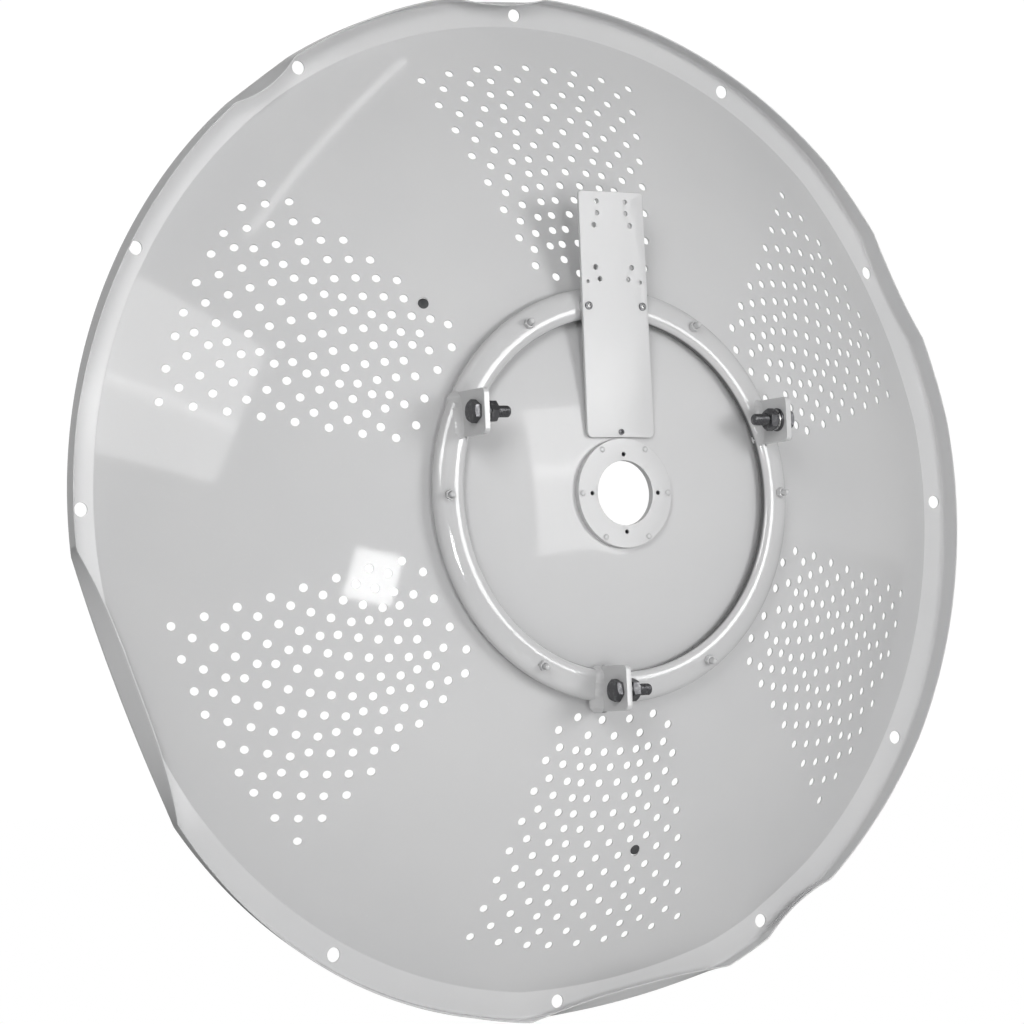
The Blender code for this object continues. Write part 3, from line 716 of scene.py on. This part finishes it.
def hexagon_rings(flats, height, chamfer_low, crown):
    """Rings up the outside of a hexagon whose corners are cut by 30 degree cones.

    crown: the cone's radius at the end face, as a share of half the width across flats."""
    turn = around_once(72)
    side = hex_radius(turn, flats)
    start, corner = flats / 2.0 * crown, flats / math.sqrt(3.0)
    rise = (corner - start) * math.tan(math.radians(30.0))
    chamfer = [(rise * step, start + (corner - start) * step) for step in np.linspace(0.0, 1.0, 7)]
    lower = chamfer if chamfer_low else [(0.0, flats)]
    upper = [(height - drop, limit) for drop, limit in chamfer[::-1]]
    return [circle(np.minimum(side, limit), level, turn=turn) for level, limit in lower + upper]


def hex_nut(flats, bore, height, matrix):
    rings = [circle(bore, 0.5), circle(bore + 0.6, 0.0)]
    rings += hexagon_rings(flats, height, True, NUT_CROWN)
    rings += [circle(bore + 0.6, height), circle(bore, height - 0.5)]
    return Shape().rings(rings, matrix, closed=True)


def stud_foot(index, lift):
    tilt = dish_tilt(RING_R)
    foot = RING_R - (RING_HALF_HEIGHT + RING_GAP) * math.sin(tilt)
    return on_slope(foot, index * 360.0 / STUDS, tilt, lift)


def make_studs(material):
    crown = RING_GAP + 2 * RING_HALF_HEIGHT
    length = crown + FIT + STUD_NUT + STUD_TIP
    profile = [(1.0, FIT), (STUD_R, FIT), (STUD_R, length - 1.6), (STUD_R * 0.93, length - 0.9),
               (STUD_R * 0.72, length - 0.35), (STUD_R * 0.4, length - 0.08), (0.2, length)]
    for index in range(STUDS):
        stud = Shape().lathe(profile, 32, stud_foot(index, 0.0))
        stud.replace("ring_stud_%d" % (index + 1), "tip", material, "small_hardware_paint")
        place = stud_foot(index, crown + 0.1) @ Matrix.Rotation(STUD_NUT_TURN * index, 4, "Z")
        nut = hex_nut(STUD_NUT_FLATS, STUD_R + 0.15, STUD_NUT, place)
        nut.replace("ring_nut_%d" % (index + 1), "chamfered", material, "small_hardware_paint")


# The hub and the radio plate


def flat_plate(outline, holes, low, high, edge):
    """A flat plate with round holes and softly rounded edges, its faces square to Z.
    outline(inset) gives the outer loop pulled in by an inset. Each hole: x, y and radius."""
    insets = [(edge, 0.0), (edge * 0.3, edge * 0.3), (0.0, edge)]
    levels = [(high - drop, inset) for inset, drop in insets]
    levels += [(low + drop, inset) for inset, drop in insets[::-1]]

    def hole_loop(x, y, radius, inset):
        sides = 40 if radius > LARGE_HOLE_R else 24
        return circle(radius + inset, 0.0, sides)[:, :2] + np.array([x, y])

    points, faces, loop_ids = [], [], []

    def add(loop, level):
        start = sum(len(p) for p in points)
        points.append(np.column_stack((loop, np.full(len(loop), level))))
        return np.arange(start, start + len(loop))

    contours = [(outline, True)]
    contours += [((lambda inset, h=h: hole_loop(*h, inset * 0.5)), False) for h in holes]
    for contour, outside in contours:
        ids = [add(contour(inset), level) for level, inset in levels]
        loop_ids.append(ids)
        for upper, lower in zip(ids, ids[1:]):
            for i in range(len(upper)):
                j = (i + 1) % len(upper)
                quad = (upper[i], lower[i], lower[j], upper[j])
                faces.append(quad if outside else quad[::-1])
    everything = np.vstack(points)
    for side in (0, -1):
        loops = [ids[side] for ids in loop_ids]
        order = np.concatenate(loops)
        where = {int(v): k for k, v in enumerate(order)}
        flat = [Vector((everything[v][0], everything[v][1])) for v in order]
        edges = [(where[int(a)], where[int(b)])
                 for loop in loops for a, b in zip(loop, np.roll(loop, -1))]
        _, _, triangles, origins, _, _ = delaunay_2d_cdt(flat, edges, [], 0, 1e-6)
        owner = {int(v): n for n, loop in enumerate(loops) for v in loop}
        back = [int(order[origin[0]]) for origin in origins]
        for triangle in triangles:
            ids = [back[i] for i in triangle]
            n = {owner[i] for i in ids}
            if len(n) == 1 and n != {0}:
                continue
            p = everything[ids]
            up = np.cross(p[1] - p[0], p[2] - p[0])[2] > 0.0
            faces.append(tuple(ids) if up == (side == 0) else tuple(ids[::-1]))
    return everything, faces


def make_hub(material, rivet_paint, dark):
    holes = [(0.0, 0.0, HUB_BORE_R)]
    holes += [(*polar(HUB_HOLE_CIRCLE, 90.0 * i), HUB_HOLE_R) for i in range(4)]
    points, faces = flat_plate(lambda inset: circle(HUB_R - inset, 0.0, 128)[:, :2], holes, 0.0,
                               HUB_THICK, HUB_EDGE)
    make_piece("hub_flange", points, faces, material, ("hub_ring",),
               at_back(0.0, 0.0, SEAT_DEPTH + FIT), sharp=50.0)
    # Dark zinc sleeve and floor in each of the hub's four holes: the sleeve is partly the thread's own dark
    # metal, and the dark floor closing each hole is painted shade in the hole's depth.
    sleeve = [(1.9, 0.3), (1.9, 4.2), (1.6, 4.2), (1.5, 3.9), (1.5, 0.3)]
    bottom = [(0.2, 0.4), (1.7, 0.4), (1.7, 1.0), (0.2, 1.0)]
    for index in range(4):
        place = at_back(*polar(HUB_HOLE_CIRCLE, 90.0 * index), SEAT_DEPTH + FIT)
        insert = Shape().lathe(sleeve, 24, place, closed=True).lathe(bottom, 24, place)
        insert.build("hub_thread_and_hole_shade_%d" % (index + 1), dark, "dark_zinc")
    profile = [(0.6, -1.0), (RIVET_R * 0.72, 0.0), (RIVET_R * 0.92, 0.4), (RIVET_R * 0.95, 0.6),
               (RIVET_R * 0.84, 1.0), (RIVET_R * 0.58, 1.35), (RIVET_R * 0.28, 1.5), (0.2, 1.52)]
    for index in range(6):
        place = at_back(*polar(RIVET_CIRCLE, 60.0 * index), SEAT_DEPTH + HUB_THICK + FIT)
        rivet = Shape().lathe(profile, 28, place)
        rivet.replace("hub_rivet_%d" % (index + 1), "head", rivet_paint, "small_hardware_paint")


def rounded_outline(corners, inset):
    """A loop around corners given as x, y and radius, listed anticlockwise, pulled in by an inset."""
    loop = []
    count = len(corners)
    for index in range(count):
        x, y, radius = corners[index]
        here = np.array([x, y])
        before = np.array(corners[index - 1][:2]) - here
        after = np.array(corners[(index + 1) % count][:2]) - here
        before, after = before / np.linalg.norm(before), after / np.linalg.norm(after)
        half = math.acos(before @ after) / 2.0
        middle = here + (before + after) / np.linalg.norm(before + after) * radius / math.sin(half)
        a0 = here + before * radius / math.tan(half) - middle
        a1 = here + after * radius / math.tan(half) - middle
        t0, t1 = math.atan2(a0[1], a0[0]), math.atan2(a1[1], a1[0])
        while t1 < t0:
            t1 += math.tau
        for t in np.linspace(t0, t1, 9):
            loop.append(middle + (radius - inset) * np.array([math.cos(t), math.sin(t)]))
    return np.array(loop)


def make_plate(material):
    """The radio plate with rounded corners and edges, and all its small holes."""
    corners = [
        (-PLATE_BOTTOM_WIDTH / 2, PLATE_BOTTOM, PLATE_BOTTOM_CORNER),
        (PLATE_BOTTOM_WIDTH / 2, PLATE_BOTTOM, PLATE_BOTTOM_CORNER),
        (PLATE_TOP_WIDTH / 2, PLATE_TOP, PLATE_TOP_CORNER),
        (-PLATE_TOP_WIDTH / 2, PLATE_TOP, PLATE_TOP_CORNER),
    ]
    holes = [(side * x, z, radius) for z, x, radius in PLATE_HOLES for side in (-1, 1)]
    holes += [(side * RING_SCREW_X, RING_SCREW_Z, 2.3) for side in (-1, 1)]
    holes.append((0.0, FOOT_SCREW_Z, 1.8))
    points, faces = flat_plate(lambda inset: rounded_outline(corners, inset), holes, 0.0, PLATE_THICK,
                               PLATE_EDGE)
    make_piece("radio_plate_coated", points, faces, material, ("radio_plate",),
               at_back(0.0, 0.0, SEAT_DEPTH + FIT), sharp=50.0)


def socket_screw(name, x, z, head_r, shank_r, reach, rim, core):
    """A small round-headed screw: a dark rim, a bright face and a hexagon socket."""
    place = at_back(x, z, SEAT_DEPTH + FIT + PLATE_THICK)
    profile = [(0.3, -reach), (shank_r, -reach + 0.4), (shank_r, 0.0), (head_r, 0.05), (head_r, 0.7),
               (head_r * 0.93, 1.1), (head_r * 0.66, 1.15), (head_r * 0.64, 0.7), (0.3, 0.9)]
    Shape().lathe(profile, 40, place).replace(name, "rim", rim, "dark_zinc")
    turn = around_once(48)
    socket = hex_radius(turn, head_r * 0.5)
    profile = [(head_r * 0.62, 0.75), (head_r * 0.62, 1.2), (head_r * 0.55, 1.6), (head_r * 0.42, 1.8),
               (socket, 1.85), (socket, 0.75)]
    rings = [circle(radius, height, turn=turn) for radius, height in profile]
    Shape().rings(rings, place, closed=True).build(name + "_head", core, "dark_zinc")


def make_plate_screws(paint, rim, steel, dark):
    spacer = SEAT_DEPTH + FIT - RING_SEAT_DEPTH
    reach = PLATE_THICK + spacer + 7.0
    profile = [(2.3, 0.1), (SPACER_R - 0.3, 0.1), (SPACER_R, 0.4), (SPACER_R, spacer - 0.4),
               (SPACER_R - 0.3, spacer - 0.1), (2.3, spacer - 0.1)]
    for side, sign in (("left", -1), ("right", 1)):
        x = sign * RING_SCREW_X
        socket_screw("plate_screw_" + side, x, RING_SCREW_Z, 3.5, 2.0, reach, rim, steel)
        ring = Shape().lathe(profile, 36, at_back(x, RING_SCREW_Z, RING_SEAT_DEPTH), closed=True)
        ring.replace("plate_spacer_" + side, "turned", paint, "small_hardware_paint")
    socket_screw("plate_screw_foot", 0.0, FOOT_SCREW_Z, 2.6, 1.5, 8.6, rim, dark)


# The lugs and their bolts


def lug_outline(side):
    """The lug seen along X, as height and depth: rounded back corners, and a foot fitted to the tube."""
    x, z, _, front, _ = LUGS[side]
    low, high = z - LUG_HEIGHT / 2, z + LUG_HEIGHT / 2
    foot = [(height, max(front, tube_depth(x, height) - 0.6)) for height in np.linspace(low, high, 25)]

    def outline(inset):
        loop = [(min(max(height, low + inset), high - inset), depth + inset) for height, depth in foot]
        for centre, start in ((high - LUG_CORNER, 0.0), (low + LUG_CORNER, 90.0)):
            for turn in np.linspace(start, start + 90.0, 9):
                a = math.radians(turn)
                loop.append((centre + (LUG_CORNER - inset) * math.cos(a),
                             LUG_BACK - LUG_CORNER + (LUG_CORNER - inset) * math.sin(a)))
        return np.array(loop)

    return outline


def side_plane(x):
    """Places a plate drawn in height and depth so that its thickness runs along X."""
    return Matrix(((0.0, 0.0, 1.0, x), (0.0, -1.0, 0.0, 0.0), (1.0, 0.0, 0.0, 0.0), (0.0, 0.0, 0.0, 1.0)))


def weld_fillet(sections, seed):
    """A hollow fillet along a lug's foot, a little uneven and running out at its ends.

    Each section: x of the lug's face, the way out from it, height and the tube's depth at that face."""
    random = np.random.default_rng(seed)
    count = len(sections)
    uneven = 1.0 + 0.05 * np.sin(np.arange(count) * 1.9) + 0.04 * random.standard_normal(count)
    taper = np.clip(np.minimum(np.arange(count), np.arange(count)[::-1]) / 5.0, 0.08, 1.0) ** 0.5
    share = np.linspace(0.0, 1.0, 9)[:, None]
    rings = []
    for k, (x, out, height, depth) in enumerate(sections):
        size = WELD_SIZE * uneven[k] * taper[k]
        top = np.array([x, depth + size])
        foot = np.array([x + out * size, tube_depth(x + out * size, height)])
        root = np.array([x + out * size * 0.22, depth + size * 0.22])
        arc = (1.0 - share) ** 2 * top + 2.0 * share * (1.0 - share) * root + share ** 2 * foot
        loop = [top - np.array([out * 0.6, 0.0])] + list(arc)
        loop += [foot - np.array([0.0, 1.2]), np.array([x - out * 0.6, depth - 1.2])]
        rings.append(np.array([(a, -b, height) for a, b in loop]))
    return Shape().rings(rings)


def make_lug(side, material):
    x, z, bolt_z, front, nut_side = LUGS[side]
    holes = [(bolt_z, BOLT_DEPTH, LUG_HOLE_R)]
    points, faces = flat_plate(lug_outline(side), holes, -LUG_THICK / 2, LUG_THICK / 2, LUG_EDGE)
    faces = [face[::-1] for face in faces]
    make_piece("lug_%s_plate" % side, points, faces, material, ("lug_" + side,),
               side_plane(x), sharp=50.0)
    for face in (-1, 1):
        face_x = x + face * LUG_THICK / 2
        sections = []
        for height in np.linspace(z - LUG_HEIGHT / 2 - 1.0, z + LUG_HEIGHT / 2 + 1.0, 40):
            sections.append((face_x, face, height, max(front, tube_depth(face_x, height))))
        flank = "outer" if face == -nut_side else "inner"
        weld = weld_fillet(sections, seed=len(side) + face)
        weld.build("weld_%s_%s" % (side, flank), material, "lug_paint", sharp=80.0)


def thread_rings(radius, start, end, pitch, depth):
    """Rings of a screw thread along Z from start to end."""
    turn = around_once(48)
    rings = []
    count = int(abs(end - start) / pitch * 8)
    for level in np.linspace(start, end, count):
        phase = (level / pitch - turn / math.tau) % 1.0
        bite = depth * (1.0 - np.abs(phase * 2.0 - 1.0))
        near_tip = np.clip((abs(end - start) - abs(level - start)) / 1.2, 0.0, 1.0)
        rings.append(circle(radius - bite * near_tip - (1.0 - near_tip) * 0.9, level, turn=turn))
    return rings


def make_bolt(side, metal, bright):
    """A hexagon bolt with its flat washer, split washer and nut."""
    x, _, bolt_z, _, nut_side = LUGS[side]
    reach = LUG_THICK / 2 + 0.1
    head_turn, nut_turn = (Matrix.Rotation(math.radians(turn), 4, "Z") for turn in WRENCH_TURNS[side])

    def on_bolt(way, distance):
        """A place beside the lug, built up along the bolt. Way 1 is the nut's side, -1 the head's."""
        return along_x(x + way * nut_side * distance, bolt_z, BOLT_DEPTH, way * nut_side)

    place = on_bolt(-1, reach)
    head = [circle(BOLT_R, 0.0), circle(HEAD_RELIEF_R, 0.0), circle(HEAD_RELIEF_R, HEAD_RELIEF)]
    for ring in hexagon_rings(BOLT_FLATS, BOLT_HEAD - HEAD_RELIEF, False, HEAD_CROWN):
        head.append(ring + np.array([0.0, 0.0, HEAD_RELIEF]))
    head.append(circle(0.5, BOLT_HEAD))
    smooth = BOLT_LENGTH - BOLT_THREAD
    shank = [circle(BOLT_R, 0.5, 48), circle(BOLT_R, -smooth, 48)]
    shank += thread_rings(BOLT_R, -smooth - 0.2, -BOLT_LENGTH, BOLT_PITCH, THREAD_DEPTH)
    bolt = Shape().rings(head, place @ head_turn).rings(shank[::-1], place)
    bolt.replace("lug_bolt_" + side, "threaded", metal, "dark_zinc")

    inner, outer = BOLT_R + 0.3, WASHER_R
    profile = [(inner, 0.2), (inner + 0.2, 0.0), (outer - 0.3, 0.0), (outer, 0.35), (outer, WASHER - 0.45),
               (outer - 0.35, WASHER), (inner + 0.2, WASHER), (inner, WASHER - 0.2)]
    washer = Shape().lathe(profile, 72, on_bolt(1, reach), closed=True)
    washer.replace("lug_washer_" + side, "flat", metal, "dark_zinc")

    reach += WASHER + 0.1
    inner, outer = BOLT_R + 0.35, SPRING_WASHER_R
    rings = []
    for turn in np.linspace(0.10, math.tau - 0.10, 56):
        low = SPRING_RISE * turn / math.tau
        top = low + SPRING_WASHER - 0.3
        section = [(inner, low), (outer - 0.3, low), (outer, low + 0.3), (outer, top - 0.3),
                   (outer - 0.3, top), (inner, top)]
        rings.append(np.array([(r * math.cos(turn), r * math.sin(turn), h) for r, h in section]))
    split = Shape().rings(rings, on_bolt(1, reach) @ Matrix.Rotation(-0.9, 4, "Z"))
    split.replace("lug_spring_washer_" + side, "split", bright, "dark_zinc")

    reach += SPRING_WASHER + 0.25
    nut = hex_nut(BOLT_FLATS, BOLT_R + 0.05, BOLT_NUT, on_bolt(1, reach) @ nut_turn)
    nut.replace("lug_nut_" + side, "chamfered", metal, "dark_zinc")


# Camera, floor and light


def mirror_ray(x, z):
    """A spot on the ideal bowl, and where the camera's sight line goes after its mirror bounce there."""
    spot = Vector((x, CURVE * (x * x + z * z) - VERTEX_DEPTH, z))
    normal = Vector((2.0 * CURVE * x, -1.0, 2.0 * CURVE * z)).normalized()
    return spot, (spot - CAMERA_PLACE).normalized().reflect(normal)


def direction(azimuth, elevation):
    """Unit vector from the dish: azimuth 0 is -Y, positive towards +X."""
    a, e = math.radians(azimuth), math.radians(elevation)
    return Vector((math.sin(a) * math.cos(e), -math.cos(a) * math.cos(e), math.sin(e)))


def make_camera():
    """The photograph's camera, fitted to the perforations."""
    data = bpy.data.cameras.new("photo_camera")
    data.sensor_width = 36.0
    data.lens = CAMERA_LENS
    data.shift_x, data.shift_y = CAMERA_SHIFT
    data.clip_start = 0.05
    data.clip_end = 200.0
    camera = add_object("photo_camera", data)
    ahead = CAMERA_AHEAD.normalized()
    up = CAMERA_RIGHT.cross(ahead).normalized()
    right = ahead.cross(up)
    turn = Matrix((right, up, -ahead)).transposed()
    camera.matrix_world = Matrix.Translation(row_matrix() @ CAMERA_PLACE) @ turn.to_4x4()
    bpy.context.scene.camera = camera


def make_floor():
    """A pale floor well under the dish, which fades to plain white far away."""
    mesh = bpy.data.meshes.new("floor")
    corners = [(x * FLOOR_HALF, y * FLOOR_HALF, 0.0) for x, y in ((-1, -1), (1, -1), (1, 1), (-1, 1))]
    mesh.from_pydata(corners, [], [(0, 1, 2, 3)])
    floor = add_object("floor", mesh)
    floor.location = (0.0, 0.0, -FLOOR_DROP)
    material, tree, shader, where = new_material("floor_pale")
    fill(tree, shader, {"Base Color": (0.86, 0.86, 0.86, 1.0), "Roughness": 0.9, "Specular IOR Level": 0.0})
    brightness = spread(tree, camera_ray(tree), 0.0, 1.0, FLOOR_GLOW, 1.0)
    glow = node(tree, "ShaderNodeEmission", {"Strength": brightness})
    length = vector_math(tree, "LENGTH", where).outputs["Value"]
    fade = spread(tree, length, *FLOOR_FADE, 0.0, 1.0)
    both = {"Fac": fade, 1: shader.outputs["BSDF"], 2: glow.outputs["Emission"]}
    blend = node(tree, "ShaderNodeMixShader", both)
    fill(tree, tree.nodes["Material Output"], {"Surface": blend.outputs["Shader"]})
    mesh.materials.append(material)


def make_world():
    """Plain studio surround: white to the eye, but as light a dim room with a few broad soft glows."""
    world = bpy.data.worlds.new("studio")
    bpy.context.scene.world = world
    world.use_nodes = True
    tree = world.node_tree
    ray = node(tree, "ShaderNodeTexCoord").outputs["Generated"]
    light = ROOM_LIGHT
    for azimuth, elevation, strength in ROOM_GLOWS:
        facing = arithmetic(tree, "MAXIMUM", dot(tree, ray, direction(azimuth, elevation)), 0.0)
        lobe = arithmetic(tree, "POWER", facing, GLOW_TIGHTNESS)
        light = arithmetic(tree, "MULTIPLY_ADD", lobe, strength, light)
    both = {"Factor": camera_ray(tree), "A": light, "B": BACKDROP_WHITE}
    blend = node(tree, "ShaderNodeMix", both, data_type="FLOAT")
    strength = blend.outputs["Result"]
    fill(tree, tree.nodes["Background"], {"Color": (1.0, 1.0, 1.0, 1.0), "Strength": strength})


def make_softbox(name, corners, radiance, streaks):
    """A lit panel, stated by its mirror image in the bowl.

    corners: x and z of the image's corners, from upper left clockwise. streaks: brighter lines across
    the panel, each with x and z of its two ends, its half width on the panel and its gain."""
    rays = [mirror_ray(x, z) for x, z in corners]
    middle = sum((spot + ray * PANEL_DISTANCE for spot, ray in rays), Vector()) / len(rays)
    centre = sum((spot for spot, _ in rays), Vector()) / len(rays)
    normal = (centre - middle).normalized()
    across = (rays[1][1] + rays[2][1]) - (rays[0][1] + rays[3][1])
    right = (across - normal * across.dot(normal)).normalized()
    up = right.cross(normal)

    def on_panel(spot, ray):
        reach = (middle - spot).dot(normal) / ray.dot(normal)
        off = spot + ray * reach - middle
        return np.array([off.dot(right), off.dot(up)])

    flat = np.array([on_panel(*ray) for ray in rays])
    low, high = flat.min(axis=0) - PANEL_MARGIN, flat.max(axis=0) + PANEL_MARGIN
    width, height = high - low
    data = bpy.data.lights.new(name, "AREA")
    data.shape = "RECTANGLE"
    data.size = width * MM
    data.size_y = height * MM
    data.energy = radiance * math.pi * data.size * data.size_y
    data.use_nodes = True
    tree = data.node_tree
    where = node(tree, "ShaderNodeNewGeometry").outputs["Parametric"]

    def distance(a, b):
        """Distance in millimetres from the line through a and b, positive on its right."""
        along = (b - a) / np.linalg.norm(b - a)
        side = np.array([along[1], -along[0]])
        value = dot(tree, where, (side[0] * width, side[1] * height, 0.0))
        return arithmetic(tree, "ADD", value, float((low - a) @ side))

    inside = None
    for a, b in zip(flat, np.roll(flat, -1, axis=0)):
        gap = distance(a, b)
        inside = gap if inside is None else arithmetic(tree, "MINIMUM", inside, gap)
    mask = spread(tree, inside, -PANEL_EDGE, PANEL_EDGE, 0.0, 1.0)
    light = 1.0
    for x0, z0, x1, z1, half_width, gain in streaks:
        gap = distance(on_panel(*mirror_ray(x0, z0)), on_panel(*mirror_ray(x1, z1)))
        scaled = arithmetic(tree, "DIVIDE", gap, half_width)
        fade = arithmetic(tree, "POWER", math.exp(-1.0), arithmetic(tree, "MULTIPLY", scaled, scaled))
        light = arithmetic(tree, "MULTIPLY_ADD", fade, gain, light)
    fill(tree, tree.nodes["Emission"], {"Strength": arithmetic(tree, "MULTIPLY", mask, light)})

    panel = add_object(name, data)
    across, above = (float(number) for number in (low + high) / 2.0)
    place = row_matrix() @ (middle + right * across + up * above)
    turn = Matrix((right, up, right.cross(up))).transposed()
    panel.matrix_world = Matrix.Translation(place) @ turn.to_4x4()
    panel.visible_camera = False


def make_lights():
    for softbox in SOFTBOXES:
        make_softbox(*softbox)
    bpy.context.scene.view_settings.view_transform = "Standard"


def main():
    sheet_paint = powder_coat("powder_coat_reflector", wave=0.03)
    # The ring's paint carries painted shade on the tube's flanks near the bowl.
    ring_paint = powder_coat("powder_coat_ring", shade=0.97, gloss=0.05, peel=0.13, sheen=0.6, gap_shade=True)
    lug_paint = powder_coat("powder_coat_lugs", gloss=0.07, peel=0.10, sheen=0.45)
    flat_paint = powder_coat("powder_coat_plate", gloss=0.06, peel=0.08)
    small_paint = powder_coat("powder_coat_hardware", shade=0.95, gloss=0.08, peel=0.06, sheen=0.5)
    zinc = mottled("dark_zinc_bolts", (220.0, 5.0, 0.65), (0.10, 0.10, 0.105), (0.24, 0.24, 0.245),
                   (0.52, 0.72, 0.8), (400.0, 3.0, 0.26, 0.42), 0.8, (900.0, 3.0, 0.15, 0.0002))
    steel = mottled("bare_steel", (700.0, 4.0), (0.45, 0.45, 0.45), (0.62, 0.62, 0.61),
                    (0.3, 0.7, 1.0), (700.0, 4.0, 0.22, 0.36), 0.9)
    plastic = mottled("black_plastic_plug", (300.0, 3.0), (0.035, 0.036, 0.038), (0.06, 0.06, 0.062),
                      (0.3, 0.7, 1.0), (300.0, 3.0, 0.42, 0.6), 0.0, (1500.0, 2.0, 0.2, 0.0001))

    make_reflector(sheet_paint)
    make_plugs(plastic)
    make_ring(ring_paint)
    make_studs(small_paint)
    make_hub(flat_paint, small_paint, zinc)
    make_plate(flat_paint)
    make_plate_screws(small_paint, zinc, steel, zinc)
    for side in LUGS:
        make_lug(side, lug_paint)
        # The split washers on the left and bottom lugs take the dark zinc instead of bare steel: painted
        # shade that keeps them dark between lug and nut.
        make_bolt(side, zinc, steel if side == "right" else zinc)

    make_camera()
    make_floor()
    make_world()
    make_lights()


main()
